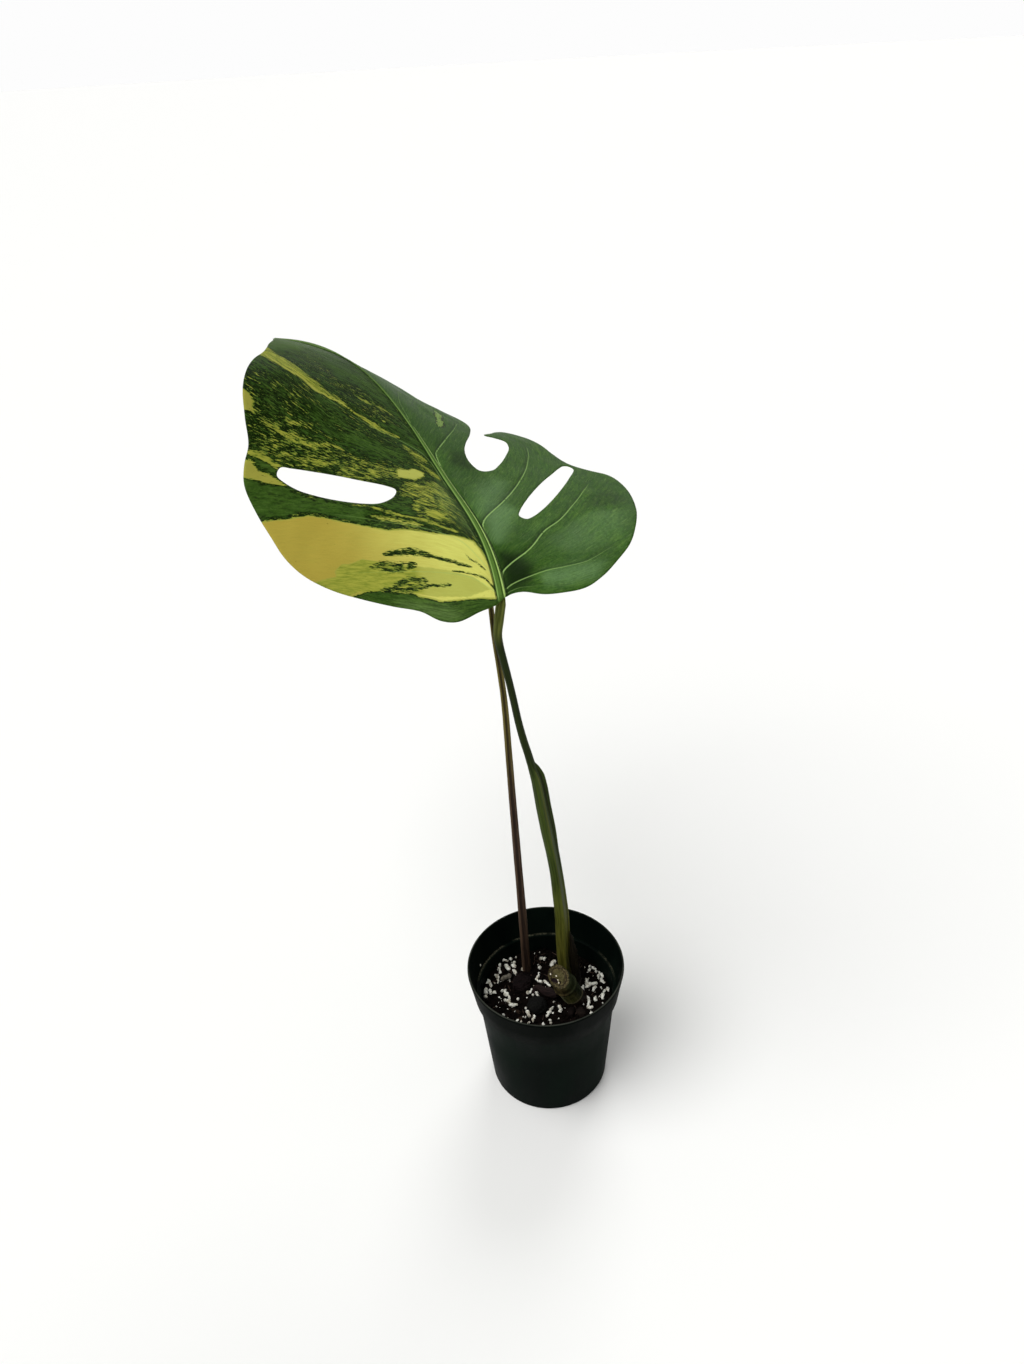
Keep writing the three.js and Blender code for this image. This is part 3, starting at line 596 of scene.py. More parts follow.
# Cutting: a short length of old stem set slanting in the soil. It has a corky ring where a leaf once sat,
# and a slanting cut across its top that has dried tan with dark pits.
def smooth_route(points, count, closed=False):
    """Evenly spaced points on a smooth curve through the given ones."""
    points = np.array(points, float)
    if closed:
        padded = np.vstack([points[-1], points, points[:2]])
    else:
        padded = np.vstack([2 * points[0] - points[1], points, 2 * points[-1] - points[-2]])
    f = np.linspace(0, 1, 40, endpoint=False)[:, None]
    dense = []
    for a, b, c, d in zip(padded, padded[1:], padded[2:], padded[3:]):
        k0, k1, k2 = (math.sqrt(max(np.linalg.norm(q - p), 1e-9)) for p, q in ((a, b), (b, c), (c, d)))
        out = ((b - a) / k0 - (c - a) / (k0 + k1) + (c - b) / k1) * k1
        into = ((c - b) / k1 - (d - b) / (k1 + k2) + (d - c) / k2) * k1
        near = (2 * f**3 - 3 * f**2 + 1) * b + (f**3 - 2 * f**2 + f) * out
        dense.append(near + (3 * f**2 - 2 * f**3) * c + (f**3 - f**2) * into)
    dense.append(padded[-2][None])
    dense = np.vstack(dense)
    length = np.concatenate([[0], np.cumsum(np.linalg.norm(np.diff(dense, axis=0), axis=1))])
    even = np.linspace(0, length[-1], count + 1 if closed else count)
    even = even[:-1] if closed else even
    return np.column_stack([np.interp(even, length, column) for column in dense.T])


def unit(vector):
    vector = np.asarray(vector, float)
    return vector / np.linalg.norm(vector, axis=-1, keepdims=True)


def axes_across(tangents):
    """Right and back directions across a path, near +X and +Y on an upright one."""
    right = unit(np.cross([0.0, 1.0, 0.0], tangents))
    return right, np.cross(tangents, right)


def sweep(path, sides, radius_at):
    """Rings round a path. radius_at takes the angles from the right-hand axis and the share of the way."""
    tangents = unit(np.gradient(path, axis=0))
    right, back = axes_across(tangents)
    angles = np.linspace(0, math.tau, sides, endpoint=False)
    rings = []
    for i, centre in enumerate(path):
        radius = radius_at(angles, i / (len(path) - 1))[:, None]
        outwards = np.cos(angles)[:, None] * right[i] + np.sin(angles)[:, None] * back[i]
        rings.append(centre + radius * outwards)
    return np.array(rings)


def skin(rings):
    """Points and faces of a closed body through rings, with a fan at each end."""
    count, sides, _ = rings.shape
    points = np.vstack([rings.reshape(-1, 3), rings[0].mean(0), rings[-1].mean(0)])
    faces = []
    for ring in range(count - 1):
        for j in range(sides):
            a, b = ring * sides + j, ring * sides + (j + 1) % sides
            faces.append((a, b, b + sides, a + sides))
    last = (count - 1) * sides
    for j in range(sides):
        n = (j + 1) % sides
        faces.append((count * sides, n, j))
        faces.append((count * sides + 1, last + j, last + n))
    return points, faces


def straightened(path, sides):
    """Place on a straightened stem for each ring point: across, across and along, in millimetres."""
    along = np.concatenate([[0], np.cumsum(np.linalg.norm(np.diff(path, axis=0), axis=1))])
    angles = np.linspace(0, math.tau, sides, endpoint=False)
    rows = [np.column_stack([4 * np.cos(angles), 4 * np.sin(angles), np.full(sides, a)]) for a in along]
    return np.vstack([*rows, [[0, 0, along[0]], [0, 0, along[-1]]]])


STEM_AXIS = unit([-0.37, -0.192, 0.909])
STEM_AT_SOIL = np.array([22.8, -4.3, 78])
STEM_RADIUS = 8.5
# Distances along the stem from the soil: its buried foot, where the slanting cut starts to squeeze it, and
# the middle of the cut. Places past the cut get one distance beyond them all.
STEM_FOOT, SLANT_START, STEM_TOP, BEYOND_CUT = -34, 28, 36.5, 60.0
# Distance along the stem, and its radius there as a share of the radius at the soil.
STEM_STATIONS = np.array([
    (STEM_FOOT, 0.9), (-6, 0.96), (0, 1), (12, 0.98), (20.7, 0.9897), (20.8, 1.01), (22, 1.08), (23, 1.12),
    (23.8, 1.08), (24.4, 1.0), (25, 1.0), (32, 0.97), (STEM_TOP, 0.885),
])
CUT_FACING = unit([-0.12, -0.72, 0.68])
CUT_RIGHT = unit(np.cross([0, 0, 1], CUT_FACING))
CUT_UP = np.cross(CUT_FACING, CUT_RIGHT)
STEM_SIDES = 112
# Rot on the cut face: a pit and a crack, and painted glints, near-white spots that stand in for reflections
# off the moist cut, all as places to the right and up on the face.
CUT_PIT = [(-3.5, -2.9, 2.5, 1.8), (-1.4, -3.7, 1.7, 1.4), (1.3, -4.4, 0.5, 1.6)]
CUT_GLINTS = [(-1.9, 0.3, 0.7), (-0.7, -2.6, 0.8), (0.2, -4.6, 0.6), (-6.3, 1.4, 0.6), (-0.2, -3.5, 0.5)]


def build_stem():
    buried = np.linspace(STEM_FOOT, 0, 12, endpoint=False)
    steps = np.concatenate([buried, np.arange(0, STEM_TOP + 0.1, 0.45)])
    right, back = axes_across(STEM_AXIS)
    angles = np.linspace(0, math.tau, STEM_SIDES, endpoint=False)
    slant = STEM_AXIS @ CUT_FACING
    cut_centre = STEM_AT_SOIL + STEM_AXIS * STEM_TOP
    spread = np.cos(angles)[:, None] * right + np.sin(angles)[:, None] * back
    rings, straight, face, pit = [], [], [], []
    for along in steps:
        share = np.interp(along, STEM_STATIONS[:, 0], STEM_STATIONS[:, 1])
        wrinkle = np.array([
            noise.fractal((2.6 * math.cos(a), 2.6 * math.sin(a), along * 0.16), 0.8, 2, 4) for a in angles
        ])
        ring = STEM_AT_SOIL + STEM_AXIS * along + (STEM_RADIUS * share + 0.28 * wrinkle[:, None]) * spread
        over = ((ring - cut_centre) @ CUT_FACING) / slant - (along - STEM_TOP)
        squeezed = np.full(STEM_SIDES, along)
        if along > SLANT_START:
            squeezed = SLANT_START + (along - SLANT_START) * (1 - over / (STEM_TOP - SLANT_START))
        ring = ring + (squeezed - along)[:, None] * STEM_AXIS
        rings.append(ring)
        straight.append(np.column_stack([4 * np.cos(angles), 4 * np.sin(angles), squeezed]))
        face.append(np.zeros((STEM_SIDES, 3)))
        pit.append(np.zeros(STEM_SIDES))
    edge = rings[-1]
    middle = edge.mean(0)
    for share in (0.99, 0.965, 0.93, 0.89, 0.85, *np.arange(0.8, 0.05, -0.05)):
        ring = middle + (edge - middle) * share
        u, v = (ring - middle) @ CUT_RIGHT, (ring - middle) @ CUT_UP
        rough = np.array([noise.fractal((p[0] / 2.0, p[1] / 2.0, p[2] / 2.0), 0.7, 2.2, 4) for p in ring])
        depths = [np.exp(-(((u - a) / c) ** 2) - ((v - b) / d) ** 2) for a, b, c, d in CUT_PIT]
        hollow = np.max(depths, axis=0)
        dish = 0.7 * (1 - share**3) - 0.25 * math.exp(-(((share - 0.72) / 0.05) ** 2))
        ring = ring - CUT_FACING * (dish - 0.5 * rough * (share < 0.95) + 1.3 * hollow)[:, None]
        glint = np.max([1 - np.hypot(u - a, v - b) / c for a, b, c in CUT_GLINTS], axis=0)
        rings.append(ring)
        beyond = np.full(STEM_SIDES, BEYOND_CUT)
        straight.append(np.column_stack([4 * np.cos(angles), 4 * np.sin(angles), beyond]))
        face.append(np.column_stack([u, v, np.full(STEM_SIDES, 2 - share)]))
        pit.append(hollow - 2 * np.clip(glint, 0, 1))
    points, faces = skin(np.array(rings))
    marks = {
        "straight": np.vstack([*straight, [[0, 0, STEM_FOOT]], [[0, 0, BEYOND_CUT]]]),
        "face": np.vstack([*face, [[0, 0, 0]], [[0, 0, 2]]]),
        "pit": np.concatenate([*pit, [0, 0]]),
    }
    return points, faces, marks


bark = Finish("green-brown stem skin", Specular_IOR_Level=0.12)
straight = bark.read("straight")
along = bark.part(straight, 2)
across = bark.part(straight, 0)
streak = bark.drawn(straight, (1.1, 1.1, 0.1), 4, 0.6)
blotch = bark.grain(straight, 0.22, 3, 0.6)
upper = bark.tint(streak, 0.3, 0.7, (36, 30, 14), (84, 74, 44))
shaded_side = bark.mix(streak, (22, 26, 13), (50, 56, 31))
upper = bark.mix(bark.level(across, -1.0, 3.0), upper, shaded_side)
lower = bark.tint(streak, 0.3, 0.7, (58, 60, 27), (94, 94, 54))
# The lower segment is painted paler on its left side and darker on its right: painted light and shade.
lower = bark.over(lower, across, -1.6, -3.4, (112, 114, 82))
lower = bark.over(lower, across, 1.8, 3.6, (36, 44, 24))
lower = bark.over(lower, blotch, 0.52, 0.7, (26, 19, 9), 0.7)
foot = bark.tint(streak, 0.3, 0.7, (16, 9, 7), (36, 23, 16))
base = bark.mix(bark.level(along, 21.6, 22.4), lower, upper)
base = bark.mix(bark.level(along, 8.2, 6.8), base, foot)
ring_shade = bark.times(bark.level(along, 20.8, 21.5), bark.level(along, 22.3, 21.7))
base = bark.mix(ring_shade, base, (12, 9, 5))
hem = bark.times(bark.level(along, 7.2, 8.2), bark.level(along, 9.8, 8.6))
base = bark.mix(bark.times(hem, 0.7), base, (122, 114, 88))
face = bark.read("face")
turned = bark.part(face, 2)
wood_spots = bark.pits(bark.stretch(face, (1, 1, 0)), 1.3)
wood = bark.tint(wood_spots, 0.1, 0.55, (20, 15, 7), (94, 84, 53))
bruise = bark.grain(bark.stretch(face, (1, 1, 0)), 0.32, 4, 0.7)
wood = bark.over(wood, bruise, 0.42, 0.6, (44, 36, 18))
wood = bark.over(wood, turned, 1.32, 1.6, (84, 80, 46), 0.6)
ring_line = bark.times(bark.level(turned, 1.2, 1.25), bark.level(turned, 1.33, 1.28))
wood = bark.mix(bark.times(ring_line, 0.8), wood, (24, 18, 9))
rim_grain = bark.drawn(straight, (2.2, 2.2, 0), 2)
rim = bark.tint(rim_grain, 0.4, 0.56, (20, 16, 8), (80, 72, 44))
wood = bark.mix(bark.level(turned, 1.14, 1.09), wood, rim)
rot_and_glint = bark.read("pit", "Fac")
wood = bark.over(wood, rot_and_glint, 0.3, 0.6, (22, 10, 13))
# Painted glints: near-white spots on the cut face stand in for reflections.
wood = bark.over(wood, rot_and_glint, -0.1, -0.5, (236, 226, 206))
base = bark.mix(bark.level(turned, 0.5, 0.9), base, wood)
bark.set(Base_Color=base, Roughness=bark.level(rot_and_glint, -0.1, -0.5, 0.6, 0.25))
bark.relief(streak, 0.5, 0.8)
bark.relief(wood_spots, 0.3, 0.5)
stem_points, stem_faces, stem_marks = build_stem()
stem = make_piece("cut_stem", stem_points, stem_faces, [bark.material], **stem_marks)
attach(stem, "root")
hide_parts("cutting_stem")


# Thick root: comes out of the stem's left side under the ring, lies half sunk in the soil and turns down.
# Its skin is papery and purple-brown.
ROOT_ROUTE = [
    (8.2, -7.6, 87.8), (4.6, -5.4, 86.2), (-1.3, -0.6, 83.8), (-7.6, 6.2, 80.2), (-10.4, 4.9, 75.5),
    (-11.4, 3.8, 68),
]
ROOT_RADII = [2.4, 3.7, 2.9, 2.2, 2.1, 2]
root_path = smooth_route(ROOT_ROUTE, 110)


def profile(values, place):
    """Catmull-Rom through evenly spaced values; place runs from 0 to 1 and is held at both ends."""
    values = np.asarray(values, float)
    last = len(values) - 1
    x = np.clip(place, 0, 1) * last
    i = np.minimum(np.floor(x).astype(int), last - 1)
    f = x - i
    b, c = values[i], values[i + 1]
    a = np.where(i > 0, values[np.maximum(i - 1, 0)], 2 * b - c)
    d = np.where(i < last - 1, values[np.minimum(i + 2, last)], 2 * c - b)
    return b + 0.5 * f * (c - a + f * (2 * a - 5 * b + 4 * c - d + f * (3 * (b - c) + d - a)))


def root_radius(angles, place):
    rough = [noise.fractal((1.8 * math.cos(a), 1.8 * math.sin(a), place * 8), 0.8, 2.1, 4) for a in angles]
    folds = 0.14 * np.sin(angles * 9 + 5 * place)
    return float(profile(ROOT_RADII, place)) + 0.3 * np.array(rough) + folds


root_skin = Finish("papery root skin", Roughness=0.85, Specular_IOR_Level=0.1)
straight = root_skin.read("straight")
flake = root_skin.drawn(straight, (1.0, 1.0, 0.16), 5, 0.65)
base = root_skin.tint(flake, 0.3, 0.7, (13, 8, 8), (38, 27, 25))
root_skin.set(Base_Color=base)
root_skin.relief(flake, 0.5, 0.8)
root = make_piece("thick_root", *skin(sweep(root_path, 40, root_radius)), [root_skin.material],
                  straight=straightened(root_path, 40))
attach(root, "root")
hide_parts("stem_root")


# Leaf stalk: olive with brown flecks below, green above. It is grooved between two thin sheath wings, which
# end in a rounded tip two thirds of the way up, and slim and round from there to the paler knee under the
# leaf.
STALK_STEPS = 260
# Each station gives the height, the place to the right and back, the radius and how far the wings stand
# out.
STALK_STATIONS = np.array([
    (66, 18.6, 11, 5, 0.5), (84, 16.9, 10.6, 5, 0.6), (106, 14.6, 10, 5, 0.8), (128, 14.1, 9.3, 5.1, 0.9),
    (153, 13.8, 8.4, 5, 0.8), (177, 12.3, 7.5, 4.8, 0.7), (200, 10.5, 6.5, 4.4, 0.7),
    (222, 8, 5.8, 4.4, 0.8), (243, 5.4, 5.2, 4.9, 1.2), (264, 2.7, 4.7, 4.7, 1.4),
    (280, 0.9, 4.2, 4.5, 1.6), (291, -0.7, 3.8, 4.2, 1.5), (298, -2.5, 3.4, 3.5, 0.9),
    (303, -4, 3, 2.7, 0.1), (312, -5.8, 2.6, 2.6, 0), (322, -8, 2, 2.55, 0), (338, -10.9, 1.5, 2.4, 0),
    (356, -13.4, 1, 2.35, 0), (372, -15.8, 0.5, 2.3, 0), (387, -18.4, 0.1, 2.4, 0), (397, -20.1, 0, 2.5, 0),
    (405, -20.9, 0, 2.75, 0), (415, -19.7, 0.2, 3.1, 0),
])
# The stalk's top is seated under the middle of the blade, by half the blade, the midrib and a little more.
STALK_SEAT = 0.4 + 1.8 + 0.36
STALK_TOP_RADIUS = 3.1
GROOVE_BEARING = math.radians(-32)
WING_SPREAD = math.radians(40)
WING_WIDTH = math.radians(20)
STALK_SIDES = 72


def ridge(angles, bearing, width):
    """A rounded ridge of height 1 at a bearing round a section."""
    turn = np.arctan2(np.sin(angles - bearing), np.cos(angles - bearing))
    return np.exp(-((turn / width) ** 2))


def stalk_radius(angles, place):
    height = stalk_path[round(place * (STALK_STEPS - 1)), 2]
    radius, wing = (np.interp(height, STALK_STATIONS[:, 0], STALK_STATIONS[:, column]) for column in (3, 4))
    wings = ridge(angles, GROOVE_BEARING - WING_SPREAD, WING_WIDTH * 0.6)
    wings += ridge(angles, GROOVE_BEARING + WING_SPREAD, WING_WIDTH * 0.6)
    groove = 1.1 * ridge(angles, GROOVE_BEARING, WING_WIDTH)
    slit = 0.5 * ridge(angles, GROOVE_BEARING + WING_SPREAD - WING_WIDTH, WING_WIDTH * 0.3)
    ribs = 0.06 * np.sin(angles * 9 + 2 * place)
    return radius + wing * (wings - groove - slit) + ribs


LEAF_BASE = np.array([-17.1, 0, 431.7])
LEAF_SPAN = 290
HEADING = [7, 24, 32, 44, 69]
CLIMB = [31, 19, 31, 22, 1]
ROLL = [-2, 3, 6, 8, 3]


def leaf_frame(s):
    """Forward, left and normal directions of the midrib at distances from the leaf's base."""
    place = np.asarray(s, float) / LEAF_SPAN
    turn, rise, lean = (np.radians(profile(v, place))[..., None] for v in (HEADING, CLIMB, ROLL))
    upright = np.array([0, 0, 1.0])
    ahead = np.concatenate([-np.sin(turn), np.cos(turn), 0 * turn], -1)
    level_left = np.concatenate([-np.cos(turn), -np.sin(turn), 0 * turn], -1)
    forward = ahead * np.cos(rise) + upright * np.sin(rise)
    above = -ahead * np.sin(rise) + upright * np.cos(rise)
    left = level_left * np.cos(lean) + above * np.sin(lean)
    return forward, left, above * np.cos(lean) - level_left * np.sin(lean)


stalk_path = smooth_route(STALK_STATIONS[:, [1, 2, 0]], STALK_STEPS)


def build_stalk():
    rings = sweep(stalk_path, STALK_SIDES, stalk_radius)
    forward, left, normal = leaf_frame(0.0)
    angles = np.linspace(0, math.tau, STALK_SIDES, endpoint=False)[:, None]
    across = -left * np.cos(angles) + forward * np.sin(angles)
    last = rings[-1]
    extra = []
    for share in np.linspace(0.1, 1, 10):
        radius = STALK_TOP_RADIUS - 0.9 * max(0, share - 0.7) / 0.3
        seat = LEAF_BASE - normal * STALK_SEAT + across * radius
        extra.append(last * (1 - share) + seat * share)
    rings = np.concatenate([rings, np.array(extra)])
    return *skin(rings), straightened(rings.mean(1), STALK_SIDES)


stalk_skin = Finish("grooved green stalk", Specular_IOR_Level=0.06)
straight = stalk_skin.read("straight")
height = stalk_skin.part(straight, 2)
streak = stalk_skin.drawn(straight, (0.9, 0.9, 0.03), 4, 0.6)
fleck = stalk_skin.drawn(straight, (0.5, 0.5, 0.14), 3, 0.7)
olive = stalk_skin.tint(streak, 0.3, 0.7, (54, 54, 14), (92, 90, 36))
green = stalk_skin.tint(streak, 0.3, 0.7, (30, 42, 8), (60, 74, 22))
shaded = stalk_skin.tint(streak, 0.3, 0.7, (18, 28, 5), (38, 48, 14))
knee = stalk_skin.tint(streak, 0.3, 0.7, (52, 60, 16), (108, 114, 50))
base = stalk_skin.mix(stalk_skin.level(height, 40, 150), olive, green)
base = stalk_skin.mix(stalk_skin.level(height, 218, 250), base, shaded)
base = stalk_skin.mix(stalk_skin.level(height, 332, 352), base, knee)
base = stalk_skin.over(base, fleck, 0.68, 0.78, (62, 44, 26), 0.8)
wing_edge = stalk_skin.read("wing", "Fac")
base = stalk_skin.over(base, wing_edge, 0.35, 0.9, (88, 92, 44), 0.5)
# The slit beside the groove is painted near-black: painted shade in the recess.
base = stalk_skin.over(base, wing_edge, -0.2, -0.7, (24, 22, 8), 0.85)
stalk_skin.set(Base_Color=base, Roughness=stalk_skin.level(streak, 0.3, 0.7, 0.38, 0.55))
stalk_skin.relief(streak, 0.2, 0.5)
stalk_points, stalk_faces, stalk_straight = build_stalk()
stalk_turn = np.arctan2(stalk_straight[:, 1], stalk_straight[:, 0])
wing_lift = np.interp(stalk_points[:, 2], STALK_STATIONS[:, 0], np.clip(STALK_STATIONS[:, 4], 0, 1))
wing_mark = wing_lift * (
    ridge(stalk_turn, GROOVE_BEARING - WING_SPREAD, WING_WIDTH * 0.5)
    + ridge(stalk_turn, GROOVE_BEARING + WING_SPREAD, WING_WIDTH * 0.4)
    - ridge(stalk_turn, GROOVE_BEARING + WING_SPREAD - WING_WIDTH, WING_WIDTH * 0.22)
)
stalk = make_piece("grooved_stalk", stalk_points, stalk_faces, [stalk_skin.material],
                   straight=stalk_straight, wing=wing_mark)
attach(stalk, "root")
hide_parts("leaf_stalk")


# Papery sheath: the dried scale left at the stalk's foot, thin and brown with paler fibres and a tattered
# edge. Each edge has its places to the right and back at even heights from the foot to the tip.
SHEATH_FOOT, SHEATH_TIP = 74, 139
SHEATH_BOW = 1.8
SHEATH_LEFT = ([21.9, 20.5, 19.4, 19.3, 19.3], [7, 6.8, 7, 7.2, 7.3])
SHEATH_RIGHT = ([28.2, 27.8, 26.6, 24, 20.3], [9.5, 10, 10, 9, 7.7])


def sheath_point(u, v, offset):
    height = SHEATH_FOOT + (SHEATH_TIP - SHEATH_FOOT) * v
    left_edge, right_edge = (
        np.array([float(profile(right, v)), float(profile(back, v)), height])
        for right, back in (SHEATH_LEFT, SHEATH_RIGHT)
    )
    chord = right_edge - left_edge
    front = np.cross(unit(chord), [0, 0, 1])
    tatter = 0.5 * noise.fractal((u * 5, v * 7, 4), 0.8, 2.2, 4) * min(1, np.linalg.norm(chord) / 8)
    bow = SHEATH_BOW * min(1, np.linalg.norm(chord) / 8) * 4 * u * (1 - u)
    ragged = 0.9 * noise.noise((v * 16, 3, 1)) * u**6 - 0.25 * u
    return left_edge + chord * u + unit(chord) * ragged + front * (bow + offset + tatter)


def build_sheath():
    columns, rows = 34, 90
    rings, marks = [], []
    for row in range(rows + 1):
        v = row / rows
        half = 0.3 - 0.12 * v
        outer = [sheath_point(c / columns, v, half) for c in range(columns + 1)]
        inner = [sheath_point(c / columns, v, -half) for c in range(columns, -1, -1)]
        rings.append(outer + inner)
        marks += [(c / columns * 12, v * 65, 0) for c in (*range(columns + 1), *range(columns, -1, -1))]
    points, faces = skin(np.array(rings))
    return points, faces, np.array([*marks, (6, 0, 0), (6, 67, 0)])


sheath_skin = Finish("papery brown scale", Roughness=0.6, Specular_IOR_Level=0.12)
flat_place = sheath_skin.read("flat")
fibre_lines = sheath_skin.drawn(flat_place, (1.6, 0.05, 1), 3, 0.6)
base = sheath_skin.tint(fibre_lines, 0.35, 0.62, (9, 7, 4), (30, 25, 14))
base = sheath_skin.over(base, fibre_lines, 0.62, 0.74, (78, 72, 50))
sheath_skin.set(Base_Color=base)
sheath_skin.relief(fibre_lines, 0.3, 0.8)
sheath_points, sheath_faces, sheath_flat = build_sheath()
sheath = make_piece("papery_sheath", sheath_points, sheath_faces, [sheath_skin.material], flat=sheath_flat)
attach(sheath, "root")
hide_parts("dry_sheath")


# Dry stick: a split stalk pushed in behind the cutting, weathered purple-brown below and straw above, with
# a groove down its front and fine cracks along it.
STICK_ROUTE = [
    (-14, 31.6, 40), (-14.7, 28.2, 83), (-15.7, 24.6, 150), (-17, 20.6, 216), (-18.4, 15.6, 290),
    (-19.6, 12, 351), (-21.4, 10, 378), (-23.3, 8.6, 402), (-24.3, 8, 427),
]
STICK_FOOT_WIDTH, STICK_TOP_WIDTH = 7.5, 3.3
stick_path = smooth_route(STICK_ROUTE, 240)


def stick_radius(angles, place):
    groove = 0.7 * ridge(angles, 1.5 * math.pi, 0.35)
    cracks = [noise.fractal((2.5 * math.cos(a), 2.5 * math.sin(a), place * 9), 0.9, 2.2, 4) for a in angles]
    width = STICK_FOOT_WIDTH + (STICK_TOP_WIDTH - STICK_FOOT_WIDTH) * place
    return width / 2 - groove + 0.16 * np.array(cracks)


stick_bark = Finish("weathered stick", Roughness=0.8, Specular_IOR_Level=0.12)
straight = stick_bark.read("straight")
height = stick_bark.part(straight, 2)
fine = stick_bark.drawn(straight, (1.2, 1.2, 0.05), 5, 0.65)
purple = stick_bark.tint(fine, 0.3, 0.7, (44, 31, 22), (86, 67, 52))
straw = stick_bark.tint(fine, 0.3, 0.7, (72, 64, 26), (122, 112, 58))
base = stick_bark.mix(stick_bark.level(height, 210, 300), purple, straw)
# The groove down its front is painted dark: painted shade in the groove.
front = stick_bark.part(straight, 1)
base = stick_bark.over(base, front, -3.3, -3.9, (22, 13, 10), 0.75)
stick_bark.set(Base_Color=base)
stick_bark.relief(fine, 0.35, 0.8)
stick = make_piece("dry_stick", *skin(sweep(stick_path, 44, stick_radius)), [stick_bark.material],
                   straight=straightened(stick_path, 44))
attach(stick, "root")
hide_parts("support_stick")


# Loose pieces bedded in the soil: a rounded clod, a husk clump, two bark chips and two bits of twig, each a
# lump with a rough weathered surface. Each has its centre, its half sizes, its turn, its slot, and a dark
# and a light colour.
LOOSE_PIECES = {
    "dark_clod": ((-7.8, -11.8, 80.4), (8.2, 7.9, 6.9), 0.3, "clod", (6, 6, 5), (16, 16, 14)),
    "husk_clump": ((-19, 12.4, 79.8), (7.2, 8.4, 4.8), -0.4, "husk", (9, 5, 5), (23, 14, 14)),
    "bark_chip_tan": ((25.1, -20.7, 80.3), (3.6, 4.9, 3.2), 0.5, "bark", (11, 7, 5), (27, 19, 14)),
    "bark_chip_brown": ((17.6, -19.6, 80.2), (2.9, 4.7, 3), -0.2, "bark", (9, 5, 4), (20, 12, 10)),
    "twig_long": ((-24.6, -15.4, 79.6), (6.8, 1.5, 1.5), -0.5, "husk", (18, 12, 8), (50, 37, 27)),
    "twig_short": ((-20.2, -22.4, 80), (4.8, 1.4, 1.4), 0.4, "husk", (17, 11, 7), (45, 33, 24)),
}


def build_lump(centre, half_sizes, turn, slot, seed):
    build = bmesh.new()
    bmesh.ops.create_icosphere(build, subdivisions=5, radius=1)
    turned = Matrix.Rotation(turn, 3, "Z")
    squareness = {"bark": 0.62, "husk": 0.85}.get(slot, 1.0)
    coarse, fine = (0.22, 0.13) if slot == "husk" else (0.10, 0.06)
    fullness = 0.96 * (0.88 if slot == "bark" else 1)
    points = []
    for vertex in build.verts:
        spot = Vector([math.copysign(abs(c) ** squareness, c) for c in vertex.co])
        rough = coarse * noise.fractal(vertex.co * 1.6 + Vector((seed, 0, 0)), 0.8, 2.0, 3)
        rough += fine * noise.fractal(vertex.co * 6 + Vector((0, seed, 0)), 0.6, 2.2, 4)
        grown = Vector([c * h * (fullness + rough) for c, h in zip(spot, half_sizes)])
        points.append(tuple(turned @ grown + Vector(centre)))
    faces = [tuple(v.index for v in f.verts) for f in build.faces]
    build.free()
    return points, faces


for seed, (name, (centre, half_sizes, turn, slot, dark, light)) in enumerate(LOOSE_PIECES.items()):
    skin_finish = Finish(name.replace("_", " ") + " surface", Roughness=0.9, Specular_IOR_Level=0.1)
    spot = skin_finish.place()
    long_grain = (60, 300, 300) if slot in ("husk", "bark") else (150, 150, 150)
    weather = skin_finish.drawn(spot, long_grain, 5, 0.7)
    skin_finish.set(Base_Color=skin_finish.tint(weather, 0.32, 0.7, dark, light))
    skin_finish.relief(weather, 0.7, 0.9)
    points, faces = build_lump(centre, half_sizes, turn, slot, seed * 7.3)
    lump = make_piece(name + "_piece", points, faces, [skin_finish.material])
    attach(lump, "root")
    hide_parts(name)


# Leaf blade: one large thin blade with a slot in each half and a hooked notch in its right margin. A flat
# pattern, in millimetres along (s) and to the left of (t) the midrib, is laid on a surface that turns,
# arches and folds.
LEFT_FOLD = [-4, 4, 8, 12, 11]
LEFT_DROOP = [18, 15, 13, 8, 6]
RIGHT_FOLD = [-6, -8, -21, -28, -26]
RIGHT_DROOP = [-5, -8, -8, -2, 6]
BLADE_THICKNESS = 0.8
BLADE_OUTLINE = [
    (-5, 4), (-8, 14), (-12, 28), (-9, 38), (1, 50), (10, 66), (22, 83), (36, 99), (54, 113), (72, 121),
    (92, 125), (112, 128), (134, 129), (148, 125), (160, 119), (178, 116), (198, 111), (214, 102),
    (226, 91), (236, 78), (244, 70), (256, 58.5), (276, 34), (291, 13), (299, 0), (291, -14), (274, -34),
    (252, -56), (230, -71), (208, -82), (190, -87), (180, -84), (170, -76), (158, -62), (146, -46),
    (136, -36), (125, -31), (115, -33), (115, -44), (121, -55), (133, -73), (145, -89), (153, -94),
    (157, -88), (160, -80), (165, -94), (171, -110), (172, -122), (162, -129), (148, -127), (134, -121),
    (120, -118), (106, -122), (94, -126), (80, -123), (64, -117), (50, -110), (38, -101), (27, -91),
    (17, -78), (8, -66), (1, -53), (-1, -40), (-1, -26), (2, -14), (1, -5),
]
LEFT_SLOT = [
    (139, 104), (136, 97), (130, 85), (123, 72), (115, 58), (107, 44), (102, 39), (96, 43), (93, 53),
    (96, 64), (102, 76), (109, 87), (118, 98), (127, 105), (134, 108),
]
RIGHT_SLOT = [
    (63, -32), (69, -36), (80, -48), (94, -67), (108, -91), (115, -105), (117, -111), (116, -114),
    (112, -114), (99, -97), (85, -78), (75, -64), (67, -52), (61, -41), (59.5, -35),
]
